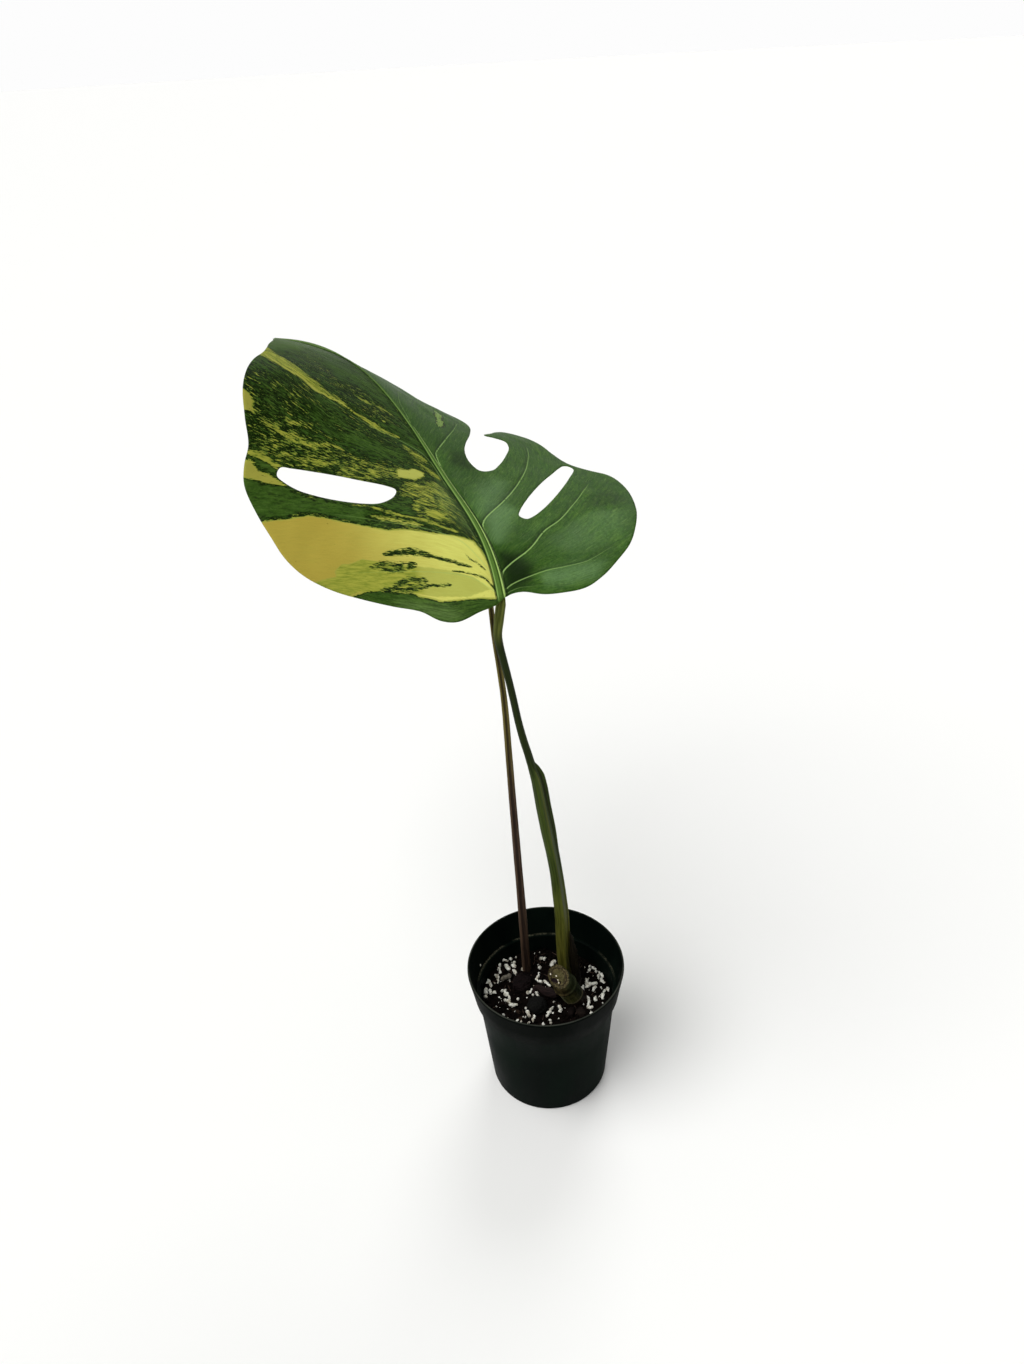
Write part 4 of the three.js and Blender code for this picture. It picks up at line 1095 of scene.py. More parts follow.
# Main veins as they run in the flat pattern, with how strongly each stands out.
VEINS = [
    (0.8, [(3, 2), (5, 4), (17, 15), (24, 28), (30, 44), (42, 79), (48, 96)]),
    (0.9, [(8, 2.2), (16, 2.8), (32, 8), (48, 15), (60, 28), (74, 50), (88, 74), (100, 96)]),
    (0.6, [(18, 2.5), (34, 3.6), (47, 5), (64, 6), (80, 6.5), (92, 9), (103, 20), (113, 35)]),
    (0.8, [(100, 3), (127, 4), (143, 16), (160, 34), (180, 51), (202, 67), (235, 76)]),
    (0.5, [(140, 3), (158, 6), (170, 13), (182, 27), (205, 45), (232, 58)]),
    (0.45, [(190, 2.5), (212, 10), (232, 26), (250, 42)]),
    (1.0, [(2, -2.6), (17, -4), (23, -10), (34, -27), (47, -42), (55, -57), (68, -76), (79, -91),
           (94, -112)]),
    (1.0, [(8, -3), (30, -3.2), (50, -3.2), (58, -4), (64, -8), (79, -28), (90, -43), (106, -63),
           (125, -86), (141, -104), (158, -117)]),
    (0.35, [(64, -3), (84, -4), (93, -7), (103, -19), (112, -29)]),
    (0.9, [(90, -2.6), (118, -3), (131, -6), (135, -10), (151, -32), (163, -50), (180, -74)]),
    (0.7, [(5, -3), (9, -10), (15, -29), (17, -43), (19, -59), (27, -80), (27, -88)]),
    (0.1, [(24, -40), (34, -47), (44, -58), (51, -79), (67, -105)]),
    (0.4, [(2, -3), (5, -12), (5, -19), (5, -26), (3, -38)]),
    (0.45, [(160, -2.4), (182, -8), (202, -26), (222, -48)]),
    (0.4, [(205, -2), (228, -10), (246, -26), (258, -42)]),
]


def leaf_point(s, t):
    """World place of flat pattern points on the middle of the blade."""
    spacing = 5.0
    stations = np.arange(-20, LEAF_SPAN + 20, spacing)
    forward = leaf_frame(stations)[0]
    steps = np.cumsum((forward[1:] + forward[:-1]) * spacing / 2, axis=0)
    spine = np.vstack([np.zeros(3), steps])
    spine = spine - spine[stations.tolist().index(0)] + LEAF_BASE
    middle = np.column_stack([np.interp(s, stations, column) for column in spine.T])
    _, left, normal = leaf_frame(s)
    place = s / LEAF_SPAN
    on_left = t >= 0
    fold = np.radians(np.where(on_left, profile(LEFT_FOLD, place), profile(RIGHT_FOLD, place)))
    bend = np.radians(np.where(on_left, profile(LEFT_DROOP, place), profile(RIGHT_DROOP, place))) / 100
    bend = np.where(abs(bend) < 1e-7, 1e-7, bend)
    reach = abs(t)
    across = (np.sin(fold) - np.sin(fold - bend * reach)) / bend
    rise = (np.cos(fold - bend * reach) - np.cos(fold)) / bend
    return middle + (np.sign(t) * across)[:, None] * left + rise[:, None] * normal


def leaf_normal(s, t):
    along = leaf_point(s + 0.5, t) - leaf_point(s - 0.5, t)
    return unit(np.cross(along, leaf_point(s, t + 0.5) - leaf_point(s, t - 0.5)))


def inside(outline, points):
    """Which points lie inside a closed outline."""
    found = np.zeros(len(points), bool)
    for (s1, t1), (s2, t2) in zip(outline, np.roll(outline, -1, axis=0)):
        crosses = (t1 > points[:, 1]) != (t2 > points[:, 1])
        if t1 != t2:
            found ^= crosses & (points[:, 0] < (s2 - s1) * (points[:, 1] - t1) / (t2 - t1) + s1)
    return found


def line_distance(points, line):
    """Distance from points to a line, the share of its length there, and the side: 1 to its left."""
    line = np.asarray(line, float)
    length = np.concatenate([[0], np.cumsum(np.linalg.norm(np.diff(line, axis=0), axis=1))])
    best = np.full(len(points), 1e9)
    share = np.zeros(len(points))
    side = np.ones(len(points))
    for i, (a, b) in enumerate(zip(line, line[1:])):
        step = b - a
        away = points - a
        f = np.clip(away @ step / (step @ step), 0, 1)
        gap = np.linalg.norm(away - f[:, None] * step, axis=1)
        nearer = gap < best
        share = np.where(nearer, (length[i] + f * (length[i + 1] - length[i])) / length[-1], share)
        side = np.where(nearer, np.sign(step[0] * away[:, 1] - step[1] * away[:, 0]), side)
        best = np.minimum(best, gap)
    return best, share, side


BLADE_RIMS = [(BLADE_OUTLINE, 760), (LEFT_SLOT, 130), (RIGHT_SLOT, 150)]
# Mesh rows beside the midrib and beside each vein, how far apart the points on them and on the grid between
# are, and the side of the square cells that hold one point each.
RIB_ROWS = (-6, -4.6, -3.6, -2.8, -2.1, -1.4, -0.7, 0, 0.7, 1.4, 2.1, 2.8, 3.6, 4.6, 6)
VEIN_ROWS = (-1.9, -1.1, -0.55, 0, 0.55, 1.1, 1.9)
VEIN_STEP, GRID_STEP, CELL = 1.3, 1.32, 0.5


def search_tree(places):
    tree = kdtree.KDTree(len(places))
    for i, (s, t) in enumerate(places):
        tree.insert((s, t, 0), i)
    tree.balance()
    return tree


def rows_beside(line, offsets):
    """Copies of a line, each moved sideways by an offset."""
    way = unit(np.gradient(line, axis=0))
    side = np.column_stack([-way[:, 1], way[:, 0]])
    return [line + side * offset for offset in offsets]


def blade_pattern():
    """Flat points and triangles: cut edges, rows beside every vein, and an even grid between them."""
    rims = [smooth_route(outline, count, closed=True) for outline, count in BLADE_RIMS]
    edges, corners = [], []
    for rim in rims:
        start = len(corners)
        corners += [tuple(p) for p in rim]
        edges += [(start + i, start + (i + 1) % len(rim)) for i in range(len(rim))]
    rim_tree = search_tree(corners)
    taken = set()

    def on_blade(points):
        return inside(rims[0], points) & ~inside(rims[1], points) & ~inside(rims[2], points)

    def spaced(group, rim_room):
        """Points of a group that lie on the blade with room to its rims, one to a cell."""
        fresh = []
        for s, t in group[on_blade(group)]:
            cell = (round(s / CELL), round(t / CELL))
            if cell not in taken and rim_tree.find((s, t, 0))[2] >= rim_room:
                taken.add(cell)
                fresh.append((s, t))
        return fresh

    rows = rows_beside(np.column_stack([np.linspace(-3, 297, 240), np.zeros(240)]), RIB_ROWS)
    for _, vein in VEINS:
        length = np.linalg.norm(np.diff(vein, axis=0), axis=1).sum()
        rows += rows_beside(smooth_route(vein, round(length / VEIN_STEP)), VEIN_ROWS)
    along = np.arange(-16, 302, GRID_STEP)
    grid = [
        np.column_stack([along + (row % 2) * GRID_STEP / 2, np.full(len(along), row * GRID_STEP * 0.866)])
        for row in range(-115, 116)
    ]
    beside = spaced(np.vstack(rows), 0.5)
    row_tree = search_tree(beside)
    filling = [place for place in spaced(np.vstack(grid), 0.7) if row_tree.find((*place, 0))[2] > 0.85]
    kept = corners + beside + filling
    places, _, triangles, *_ = delaunay_2d_cdt([Vector(p) for p in kept], edges, [], 0, 1e-5)
    points = np.array([tuple(p) for p in places])
    triangles = np.array([tuple(t) for t in triangles])
    a, b, c = (points[triangles[:, k]] for k in range(3))
    turned = (b[:, 0] - a[:, 0]) * (c[:, 1] - a[:, 1]) - (b[:, 1] - a[:, 1]) * (c[:, 0] - a[:, 0]) < 0
    triangles[turned] = triangles[turned][:, ::-1]
    triangles = triangles[on_blade((a + b + c) / 3)]
    return points, triangles, rims


def step_up(value, low, high):
    f = np.clip((value - low) / (high - low), 0, 1)
    return f * f * (3 - 2 * f)


def blend(values, share, target):
    return values * (1 - share) + target * share


pattern, blade_triangles, blade_rims = blade_pattern()
leaf_s, leaf_t = pattern[:, 0], pattern[:, 1]
reach = abs(leaf_t)

# Relief of the blade: it is drawn down along its veins, puffs up between them and waves a little. Each vein
# on the right half has a painted shadow along it, a dark line on the side towards the tip.
vein_cord = np.zeros(len(pattern))
vein_trough = np.zeros(len(pattern))
vein_valley = np.zeros(len(pattern))
vein_shade = np.zeros(len(pattern))
for strength, vein in VEINS:
    gap, share, side = line_distance(pattern, smooth_route(vein, 60))
    weight = strength * (1 - 0.7 * share) * step_up(1 - share, 0, 0.12)
    vein_cord = np.maximum(vein_cord, weight * np.exp(-((gap / 0.45) ** 2)))
    vein_trough = np.maximum(vein_trough, weight * np.exp(-((gap / 2.3) ** 2)))
    vein_valley = np.maximum(vein_valley, weight * np.exp(-((gap / 9.0) ** 2)))
    if vein[0][1] < 0:
        vein_shade = np.maximum(vein_shade, weight * np.exp(-(((gap * side - 0.95) / 0.55) ** 2)))
        vein_shade = np.maximum(vein_shade, 0.3 * weight * np.exp(-(((gap * side - 2) / 1.5) ** 2)))
rib_half = 0.65 + 1.9 * np.clip(1 - leaf_s / LEAF_SPAN, 0, 1) ** 1.2
rib_fade = step_up(leaf_s, -5, 3)
rib_body = rib_fade * step_up(rib_half + 0.5 - reach, 0, 0.9)
rib_edge = rib_fade * np.exp(-(((reach - 0.75 * rib_half) / (0.3 * rib_half)) ** 2))
rib_trough = rib_fade * np.exp(-(((reach - rib_half - 1.2) / 1.2) ** 2)) * (reach > rib_half)
rib_valley = np.exp(-((reach / 11) ** 2))
waves = np.array([noise.fractal((s / 46, t / 38, 5), 0.8, 2, 3) for s, t in pattern])
rim_gap = np.min([line_distance(pattern, np.vstack([rim, rim[:1]]))[0] for rim in blade_rims], axis=0)
relief = -0.95 * np.maximum(vein_valley, rib_valley) - 0.35 * vein_trough + 0.22 * vein_cord
relief += 0.4 * rib_body + 0.2 * rib_edge - 0.45 * rib_trough
relief += 1.1 * waves * np.clip(reach / 60, 0, 1) * (0.35 + 0.65 * step_up(rim_gap, 0, 20))
relief -= 1.6 * np.exp(-(((leaf_s - 262) / 28) ** 2) - (leaf_t / 25) ** 2)
half_thick = BLADE_THICKNESS / 2 * (0.45 + 0.55 * step_up(rim_gap, 0, 1.8))
under_rib = 1.8 * np.clip(1 - leaf_s / LEAF_SPAN, 0, 1) * np.exp(-((leaf_t / 3.4) ** 2)) + 0.8 * vein_cord
under_rib *= step_up(rim_gap, 0, 3)

# Flow of the small veins: each runs out from the midrib and bends forward. Both halves have a table of how
# far ahead (mm) a vein is at each distance from the midrib, and a point takes the number of the vein that
# it is on.
FLOW_REACH = [0, 5, 10, 15, 20, 30, 45, 60, 75, 90, 110, 130]
LEFT_FLOW = {
    -15: [0, 5, 6, 6, 5, 4, 12, 22, 31, 44, 56, 66],
    4: [0, 4, 9, 13, 16, 21, 27, 32, 37, 41, 48, 54],
    14: [0, 10, 22, 34, 38, 47, 57, 66, 75, 83, 92, 98],
    74: [0, 9, 17, 24, 29, 36, 47, 58, 67, 77, 92, 104],
    127: [0, 5, 10, 15, 20, 29, 46, 64, 98, 130, 160, 190],
    160: [0, 5, 9, 15, 21, 30, 47, 68, 95, 125, 150, 180],
    230: [0, 6, 12, 19, 26, 42, 66, 90, 115, 140, 165, 190],
    290: [0, 8, 16, 24, 32, 50, 75, 100, 125, 150, 175, 200],
}
RIGHT_FLOW = {
    -15: [0, 6, 9, 11, 12, 13, 14, 18, 26, 34, 40, 46],
    4: [0, 3, 5, 7, 9, 11, 13, 15, 20, 24, 31, 40],
    14: [0, 5, 9, 13, 16, 22, 34, 43, 53, 64, 78, 92],
    54: [0, 6, 12, 17, 20, 27, 38, 50, 62, 75, 96, 120],
    88: [0, 5, 9, 13, 16, 25, 37, 48, 60, 72, 92, 112],
    125: [0, 6, 10, 14, 18, 25, 35, 45, 57, 70, 90, 110],
    200: [0, 6, 11, 16, 21, 30, 42, 54, 66, 80, 100, 120],
    290: [0, 8, 15, 22, 30, 45, 65, 85, 105, 120, 140, 160],
}


def vein_number(table, s, reach):
    """Which small vein each point is on, named by how far ahead that vein is 45 mm from the midrib."""
    starts = np.arange(-60, 330, 2.0)
    reaches = np.arange(0, 133, 1.0)
    known = np.array(list(table))
    rows = np.array([np.interp(reaches, FLOW_REACH, offsets) for offsets in table.values()])
    ahead = np.array([np.interp(starts, known, column) for column in rows.T]) + starts
    window = np.ones(9) / 9
    ahead = np.array([np.convolve(np.pad(row, 4, "edge"), window, "valid") for row in ahead])
    grid = np.arange(-30, 310, 1.0)
    at = np.array([np.interp(grid, row, ahead[45]) for row in ahead])
    x = np.clip(s + 30, 0, len(grid) - 1.001)
    y = np.clip(reach, 0, len(reaches) - 1.001)
    i, j = x.astype(int), y.astype(int)
    fx, fy = x - i, y - j
    low = at[j, i] * (1 - fx) + at[j, i + 1] * fx
    high = at[j + 1, i] * (1 - fx) + at[j + 1, i + 1] * fx
    return low * (1 - fy) + high * fy


number = np.where(leaf_t >= 0, vein_number(LEFT_FLOW, leaf_s, reach), vein_number(RIGHT_FLOW, leaf_s, reach))
flow = np.column_stack([number, reach, np.where(leaf_t >= 0, 0, 60)])

# Variegation: how likely each place is to be yellow, from -1.2, never, to 1.2, always. Patches and streaks
# are laid over sparse dashes on the left half, and the material's noise frays them. Each has a likelihood,
# a softness or half width, and a tone from 0, cream, to 1, lime.
SECTOR = [
    (105, 130), (103, 120), (100, 111), (98, 99), (93, 90), (85, 79), (77, 67), (69, 56), (66, 45),
    (60, 33), (53, 17), (45, 7), (36, 4.5), (24, 2.5), (11, 1), (0, -1), (-1, 4), (1, 12), (2, 22), (4, 36),
    (8, 42), (12, 49), (15, 51), (19, 61), (24, 70), (27, 79), (27, 92), (40, 112), (70, 134),
]
# The part of the sector nearest the leaf's base, which is lime and not cream.
LIME_AREA = [
    (28, 94), (36, 104), (48, 116), (46, 99), (45, 95), (50, 94), (53, 90), (51, 84), (52, 77), (46, 68),
    (40, 58), (34, 44), (30, 34), (18, 14), (6, 5), (3, 20), (8, 38), (16, 52), (20, 62), (25, 73),
    (29, 84),
]
PATCHES = [
    (-0.7, 12.0, 1.0, [(290, 4), (170, 4), (128, 4), (150, 22), (190, 44), (228, 58), (262, 50)]),
    (-1.0, 6.0, 1.0, [(300, 5), (262, 8), (246, 40), (236, 74), (262, 74), (300, 30)]),
    (-0.42, 4.0, 1.0, [(243, 28), (217, 34), (199, 35), (188, 30), (189, 41), (202, 50), (217, 55),
                       (235, 54)]),
    (-0.3, 4.0, 1.0, [(202, 36), (195, 23), (178, 13), (156, 10), (160, 24), (176, 37), (189, 44)]),
    (-0.1, 7.0, 0.75, [(184, 112), (168, 96), (150, 78), (134, 52), (122, 30), (119, 42), (124, 62),
                       (130, 84), (142, 102), (160, 116)]),
    (-0.8, 4.0, 0.9, [(162, 70), (151, 47), (136, 28), (129, 19), (131, 33), (143, 52)]),
    (1.2, 1.2, 0.1, SECTOR),
    (-0.85, 1.5, 0.9, [(105, 132), (103, 120), (100, 111), (98, 99), (93, 90), (85, 79), (78, 68), (90, 66),
                       (100, 79), (108, 92), (117, 102), (124, 106), (128, 112), (131, 119), (136, 123),
                       (140, 132)]),
    (0.5, 1.6, 0.85, [(158, 124), (156, 118), (152, 112), (147, 108), (141, 104), (138, 107), (144, 112),
                      (150, 118)]),
    (0.75, 1.6, 0.3, [(150, 128), (150, 121), (141, 118), (134, 111), (130, 108), (124, 105), (127, 110),
                      (130, 117), (135, 122), (140, 130)]),
    (0.3, 2.0, 0.6, [(248, 76), (245, 68), (232, 69), (220, 64), (207, 60), (200, 55), (191, 51), (183, 44),
                     (175, 43), (170, 39), (178, 45), (184, 50), (190, 56), (194, 62), (204, 66), (209, 72),
                     (219, 78), (240, 88)]),
    (0.6, 1.6, 0.35, [(199, 118), (199, 111), (193, 108), (188, 107), (185, 109), (179, 109), (181, 112),
                      (184, 118)]),
    (0.0, 2.5, 0.7, [(130, 68), (125, 57), (123, 45), (121, 33), (116, 20), (112, 15), (108, 18), (110, 27),
                     (112, 38), (113, 48), (114, 58), (120, 68)]),
    (0.4, 1.2, 0.9, [(138, 84), (138, 78), (133, 72), (132, 79), (135, 84)]),
    (0.7, 1.2, 0.25, [(119, 31), (117, 24), (118, 19), (113, 14), (110, 15), (109, 20), (107, 23),
                      (110, 28), (112, 33)]),
    (0.1, 1.6, 0.6, [(138, 17), (132, 11), (125, 6), (119, 12), (114, 8), (109, 3), (102, 4), (109, 9),
                     (118, 14)]),
    (-0.04, 3.0, 0.8, [(108, 32), (106, 10), (96, 7), (82, 6), (70, 7), (64, 14), (66, 26), (76, 34),
                       (90, 38)]),
    (0.04, 3.0, 0.6, [(103, 35), (106, 29), (103, 18), (101, 9), (90, 8), (78, 10), (77, 14), (70, 14),
                      (72, 23), (80, 28), (82, 35), (90, 32), (96, 37)]),
    (-0.6, 1.2, 0.8, [(95, 40), (93, 32), (87, 32), (85, 37), (90, 42)]),
    (0.35, 1.2, 0.9, [(78, 29), (78, 22), (72, 16), (69, 18), (73, 26)]),
    (-0.7, 3.0, 0.9, [(98, 66), (96, 50), (90, 38), (80, 34), (74, 36), (80, 50), (88, 64)]),
]
STREAKS = [
    (0.75, 0.8, 0.3, [(234, 80), (219, 76), (209, 70), (203, 65), (193, 60), (187, 54), (180, 46),
                      (172, 41)]),
    (0.25, 1.8, 0.5, [(174, 106), (165, 97), (159, 91), (155, 85), (150, 78), (148, 67), (142, 60)]),
    (0.1, 1.4, 0.8, [(176, 97), (170, 88), (165, 73)]),
    (0.1, 1.6, 0.8, [(167, 36), (154, 27), (146, 16)]),
    (0.35, 1.2, 0.5, [(171, 40), (167, 36), (161, 30), (153, 24), (147, 17)]),
    (0.2, 0.9, 0.9, [(184, 30), (176, 19), (170, 13), (164, 10)]),
    (0.4, 0.9, 0.6, [(139, 17), (131, 10), (123, 6)]),
    (0.4, 1.2, 0.6, [(121, 12), (114, 8), (108, 4.5)]),
    (0.3, 1.3, 0.5, [(97, 70), (95, 66), (88, 55), (78, 43), (73, 35), (68, 28), (62, 22), (55, 14)]),
    (0.15, 2.4, 0.4, [(84, 62), (78, 52), (72, 43), (66, 33)]),
    (-0.9, 1.2, 0.9, [(150, 118), (143, 112), (137, 108)]),
    (-0.3, 3.4, 0.0, [(51, 64), (48, 50), (45, 44), (40, 36)]),
    (-0.4, 1.7, 0.0, [(45, 44), (38, 33), (31, 23), (25, 14)]),
    (-0.1, 3.0, 0.0, [(44, 74), (44, 64), (40, 56), (37, 46)]),
    (-0.05, 2.4, 0.0, [(42, 70), (37, 62), (35, 55), (35, 46)]),
    (-0.45, 1.1, 0.0, [(26, 27), (22, 18), (19, 13), (15, 8), (9, 4.5), (4, 2)]),
    (-0.15, 3.8, 0.0, [(24, 63), (26, 55), (25, 50), (22, 42)]),
    (-0.15, 3.0, 0.0, [(25, 71), (21, 60), (18, 50), (18, 41)]),
    (-0.2, 2.0, 0.0, [(18, 41), (16, 35), (15, 28)]),
    (-0.3, 1.1, 0.0, [(36, 15), (31, 13), (28, 10), (21, 6)]),
    (0.6, 3.4, 1.0, [(192, -61), (184, -55), (178, -48), (170, -42), (163, -33)]),
]


def patch_depth(outline):
    """Signed distance into a closed patch, in millimetres."""
    outline = np.asarray(outline, float)
    gap = line_distance(pattern, np.vstack([outline, outline[:1]]))[0]
    return np.where(inside(outline, pattern), gap, -gap)


on_left = leaf_t > 0
dash = np.array([noise.noise((s / 30, t / 22, 11)) for s, t in pattern])
yellow = np.where(on_left, -0.45 + 0.28 * dash, -1.2)
lime = np.full(len(pattern), 0.95)
for value, softness, tone, outline in PATCHES:
    share = step_up(patch_depth(outline), -softness, softness) * on_left
    yellow = blend(yellow, share, value)
    lime = blend(lime, share, tone)
# A thin ragged dark line runs round the sector, and the lobe behind it, at the leaf's base, stays green.
sector_gap = -patch_depth(SECTOR)
dark_edge = step_up(sector_gap, 0.4, 0.9) * step_up(-sector_gap, -3.4, -1.8) * on_left
yellow = blend(yellow, dark_edge, -0.3)
for value, half_width, tone, line in STREAKS:
    gap, place, _ = line_distance(pattern, smooth_route(line, 40))
    taper = 0.35 + 0.65 * np.sqrt(np.clip(4 * place * (1 - place), 0, 1))
    share = step_up(1 - gap / (half_width * taper * 2), 0, 1)
    share *= on_left if line[0][1] > 0 else ~on_left
    yellow = blend(yellow, share, value)
    lime = blend(lime, share, tone)
basal = step_up(sector_gap, 0.6, 2.0) * (leaf_s < 60 - 0.1 * reach) * on_left * (leaf_s < 0.55 * reach + 4)
yellow = blend(yellow, basal, -1.2)
lime_patch = step_up(patch_depth(LIME_AREA), -0.8, 0.8) * (0.3 + 0.7 * step_up(reach, 36, 62))
lime = np.maximum(lime * (yellow > 0.5), 0.9 * lime_patch) + lime * (yellow <= 0.5)
tan = step_up(reach, 18, 95)
beside_rib = rib_fade * step_up(rib_half * 1.25 - reach, 0, 0.5) * on_left
yellow = blend(yellow, beside_rib, -1.2)

# Painted sheen and shade of the blade: painted paler where it turns up to the windows, painted darker where
# it turns away. Each patch has how pale it is and how soft its edge is, and stays on its own half of the
# leaf.
SHEEN = [
    (0.42, 6, [(106, 4), (104, 12), (92, 16), (76, 16), (62, 12), (50, 6), (70, 3), (90, 3)]),
    (0.6, 7, [(-9, 24), (2, 34), (9, 50), (14, 64), (4, 60), (-4, 46), (-12, 32)]),
    (0.25, 14, [(290, 0), (250, 8), (222, 26), (212, 48), (236, 60), (262, 44), (290, 10)]),
    (0.7, 11, [(96, -17), (107, -39), (100, -46), (85, -33), (75, -17), (68, -6), (79, -6)]),
    (0.85, 8, [(80, -18), (78, -30), (68, -34), (60, -27), (45, -14), (31, -3), (50, -4), (70, -10)]),
    (0.3, 9, [(51, -32), (61, -51), (56, -58), (44, -45), (33, -25), (34, -18)]),
    (0.5, 12, [(55, -63), (62, -83), (58, -98), (51, -105), (33, -92), (26, -70), (23, -51), (31, -40),
               (43, -47)]),
    (0.8, 7, [(15, -19), (18, -41), (18, -60), (17, -70), (6, -61), (4, -45), (4, -29), (7, -19)]),
    (-0.4, 5, [(75, -93), (76, -111), (59, -113), (57, -100), (60, -84), (54, -55), (37, -26), (26, -12),
               (30, -20), (44, -42), (55, -66)]),
    (-0.85, 8, [(2, -2), (38, -3), (31, -17), (20, -25), (7, -23)]),
    (-0.6, 7, [(125, -12), (118, -14), (112, -28), (118, -34), (126, -32), (136, -38), (135, -20)]),
]
painted_sheen_and_shade = np.zeros(len(pattern))
for sheen_and_shade, softness, outline in SHEEN:
    own_half = on_left if outline[0][1] >= 0 else ~on_left
    painted_sheen_and_shade = blend(painted_sheen_and_shade, step_up(patch_depth(outline), -softness, softness) * own_half, sheen_and_shade)

leaf = Finish("variegated blade", Specular_IOR_Level=0.035)
flow_place = leaf.read("flow")
marks = leaf.read("marks")
ribs = leaf.read("ribs")
tones = leaf.read("tones")
likely, lime_share, tan_share = (leaf.part(marks, axis) for axis in range(3))
cord_share, rib_place, under_share = (leaf.part(ribs, axis) for axis in range(3))
shade_share, sheen_and_shade, rib_light = (leaf.part(tones, axis) for axis in range(3))
right_half = leaf.level(leaf.part(flow_place, 2), 20, 40)
dashes = leaf.drawn(flow_place, (1.3, 0.22, 1), 4, 0.7, 0.3)
patches = leaf.drawn(flow_place, (0.45, 0.11, 1), 4, 0.7, 0.2)
drifts = leaf.drawn(flow_place, (0.14, 0.035, 1), 3, 0.6)
threads = leaf.drawn(flow_place, (1.3, 0.09, 1), 3, 0.65)
quilt = leaf.drawn(flow_place, (0.5, 0.09, 1), 4, 0.7)
cloud = leaf.drawn(flow_place, (0.035, 0.03, 1), 3, 0.6)
value = likely
for pattern_noise, strength in ((dashes, 3.2), (patches, 1.7), (drifts, 0.8)):
    swing = leaf.times(leaf.minus(pattern_noise, 0.5), strength)
    value = leaf.plus(value, swing)
left_green = leaf.tint(threads, 0.3, 0.7, (30, 50, 8), (52, 76, 22))
right_green = leaf.tint(threads, 0.3, 0.7, (18, 44, 7), (66, 106, 38))
green = leaf.mix(right_half, left_green, right_green)
speck = leaf.drawn(flow_place, (0.9, 0.5, 1), 3, 0.75)
green = leaf.over(green, quilt, 0.4, 0.65, (86, 120, 44), 0.5)
green = leaf.over(green, speck, 0.52, 0.66, (20, 40, 4), 0.45)
green = leaf.over(green, speck, 0.46, 0.34, (100, 134, 66), 0.3)
green = leaf.mix(leaf.level(cloud, 0.42, 0.62, 0.4, 0), green, (32, 62, 12))
mottled = leaf.level(likely, -1.15, -0.7)
flecks = leaf.times(mottled, leaf.level(value, -1.3, -0.6, 0.5, 0))
green = leaf.mix(flecks, green, (66, 98, 34))
pale_dash = leaf.times(mottled, leaf.level(dashes, 0.52, 0.62, 0, 0.65))
green = leaf.mix(pale_dash, green, (84, 114, 50))
outline_share = leaf.times(mottled, leaf.band(value, -0.42, -0.12, 0.2))
green = leaf.mix(outline_share, green, (14, 28, 3))
cream = leaf.mix(tan_share, (205, 207, 103), (167, 151, 61))
cream = leaf.over(cream, quilt, 0.35, 0.7, (174, 156, 62), 0.25)
cream = leaf.over(cream, lime_share, 0.15, 0.27, (146, 154, 66), 0.6)
spots = leaf.pits(leaf.stretch(flow_place, (0.13, 0.11, 1)), 1.0)
cream = leaf.over(cream, spots, 0.055, 0.03, (96, 84, 24), 0.7)
limes = leaf.tint(patches, 0.35, 0.65, (122, 134, 44), (160, 162, 62))
ragged = leaf.times(leaf.minus(patches, 0.5), 0.6)
lime_edge = leaf.level(leaf.plus(lime_share, ragged), 0.38, 0.56)
bright = leaf.mix(lime_edge, cream, limes)
bright = leaf.over(bright, threads, 0.4, 0.75, (146, 146, 56), 0.22)
bright = leaf.mix(right_half, bright, (118, 146, 68))
dim = leaf.tint(dashes, 0.4, 0.65, (66, 92, 30), (112, 136, 52))
base = leaf.mix(leaf.level(value, -0.05, 0.01), green, dim)
base = leaf.mix(leaf.level(value, 0.1, 0.2), base, bright)
soft_streaks = leaf.level(threads, 0.4, 0.62, 0.35, 1)
streaky = leaf.mix(right_half, soft_streaks, leaf.level(speck, 0.3, 0.6, 1, 0.75))
# Painted sheen: the blade is painted paler in the sheen patches.
painted_sheen = leaf.times(leaf.level(sheen_and_shade, 0, 1, 0, 0.72), streaky)
base = leaf.mix(painted_sheen, base, leaf.mix(right_half, (112, 140, 78), (104, 138, 88)))
fine_lines = leaf.times(right_half, leaf.level(threads, 0.52, 0.66, 0, 0.5))
base = leaf.mix(fine_lines, base, (30, 56, 16))
pale_lines = leaf.times(right_half, leaf.level(threads, 0.44, 0.32, 0, 0.35))
base = leaf.mix(pale_lines, base, (114, 150, 76))
# Painted shade: the blade is painted dark where the sheen value falls below 0.
base = leaf.over(base, sheen_and_shade, 0, -1, (14, 30, 5), 0.95)
base = leaf.mix(shade_share, base, (12, 28, 4))
cord_strength = leaf.level(right_half, 0, 1, 0.35, 0.85)
cord_light = leaf.times(leaf.level(cord_share, 0.1, 0.7), cord_strength)
base = leaf.mix(cord_light, base, (148, 184, 104))
rib_green = leaf.times(leaf.band(rib_place, -1.0, 1.0, 0.15), rib_light)
base = leaf.mix(rib_green, base, leaf.mix(threads, (54, 86, 26), (98, 132, 54)))
# The midrib's two edges are painted pale: partly the rib's own pale colour, partly painted highlight.
rib_edge_and_highlight = leaf.times(leaf.band(rib_place, -0.95, -0.65, 0.1), rib_light)
base = leaf.mix(rib_edge_and_highlight, base, (170, 200, 112))
far_edge_and_highlight = leaf.times(leaf.band(rib_place, 0.7, 0.9, 0.08), rib_light)
base = leaf.mix(leaf.times(far_edge_and_highlight, 0.7), base, (140, 172, 92))
# Painted shade: a dark line in the groove along the midrib, and dark lines in the troughs on both sides of
# it.
groove_shade = leaf.times(leaf.band(rib_place, -0.45, -0.25, 0.12), rib_light)
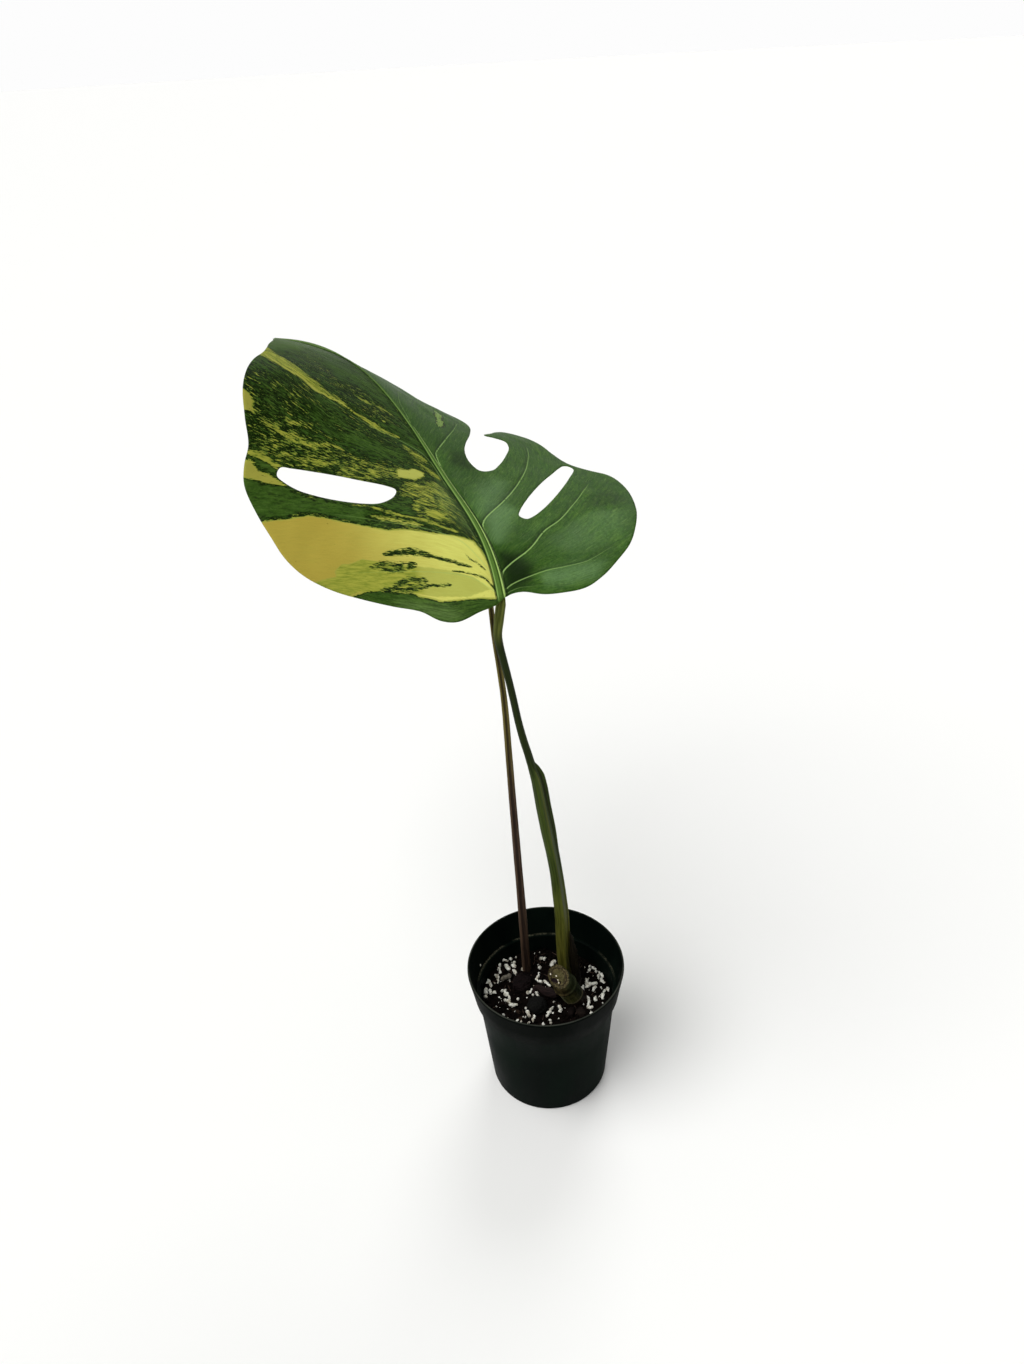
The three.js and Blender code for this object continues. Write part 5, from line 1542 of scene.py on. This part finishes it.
base = leaf.mix(leaf.times(groove_shade, 0.7), base, (34, 60, 14))
rib_shadow_line = leaf.plus(leaf.band(rib_place, -1.7, -1.2, 0.2), leaf.band(rib_place, 1.1, 1.45, 0.15))
rib_shadow_line = leaf.times(rib_shadow_line, leaf.times(rib_light, 0.8))
base = leaf.mix(rib_shadow_line, base, (20, 38, 8))
base = leaf.mix(leaf.times(under_share, 0.5), base, (112, 138, 84))
gloss = leaf.level(cloud, 0.3, 0.7, 0.4, 0.52)
leaf.set(Base_Color=base, Roughness=leaf.plus(gloss, leaf.times(under_share, 0.25)))
leaf.relief(quilt, 0.5, 0.6)
leaf.relief(threads, 0.3, 0.6)

blade_middle = leaf_point(leaf_s, leaf_t)
blade_normal = leaf_normal(leaf_s, leaf_t)
upper = blade_middle + blade_normal * (half_thick + relief)[:, None]
lower = blade_middle + blade_normal * (relief * (1 - rib_body) - half_thick - under_rib)[:, None]
below = len(pattern)
blade_faces = [tuple(t) for t in blade_triangles.tolist()]
open_edges = {}
for a, b, c in blade_faces:
    for edge in ((a, b), (b, c), (c, a)):
        if open_edges.pop(edge[::-1], None) is None:
            open_edges[edge] = True
blade_faces += [(below + a, below + c, below + b) for a, b, c in blade_faces]
blade_faces += [(below + a, below + b, b, a) for a, b in open_edges]


def both(values):
    """The same values for the upper and the lower face."""
    return np.concatenate([values, values])


leaf_low, leaf_high = (np.array(corner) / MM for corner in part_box("leaf_blade"))
rib_bearing = np.clip(leaf_t / rib_half, -4, 4)
rib_light = rib_fade * (1 - 0.7 * step_up(leaf_s, 130, 230))
blade_points = np.clip(np.vstack([upper, lower]), leaf_low, leaf_high)
blade = make_piece(
    "variegated_blade", blade_points, blade_faces, [leaf.material],
    flow=both(flow), marks=both(np.column_stack([yellow, lime, tan])),
    ribs=np.column_stack([both(vein_cord), both(rib_bearing), np.repeat([0.0, 1.0], below)]),
    tones=both(np.column_stack([vein_shade, painted_sheen_and_shade, rib_light])),
)
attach(blade, "root")
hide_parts("leaf_blade")

size = {"cad": [list(corner) for corner in cad_box], "visual": [list(corner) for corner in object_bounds()]}
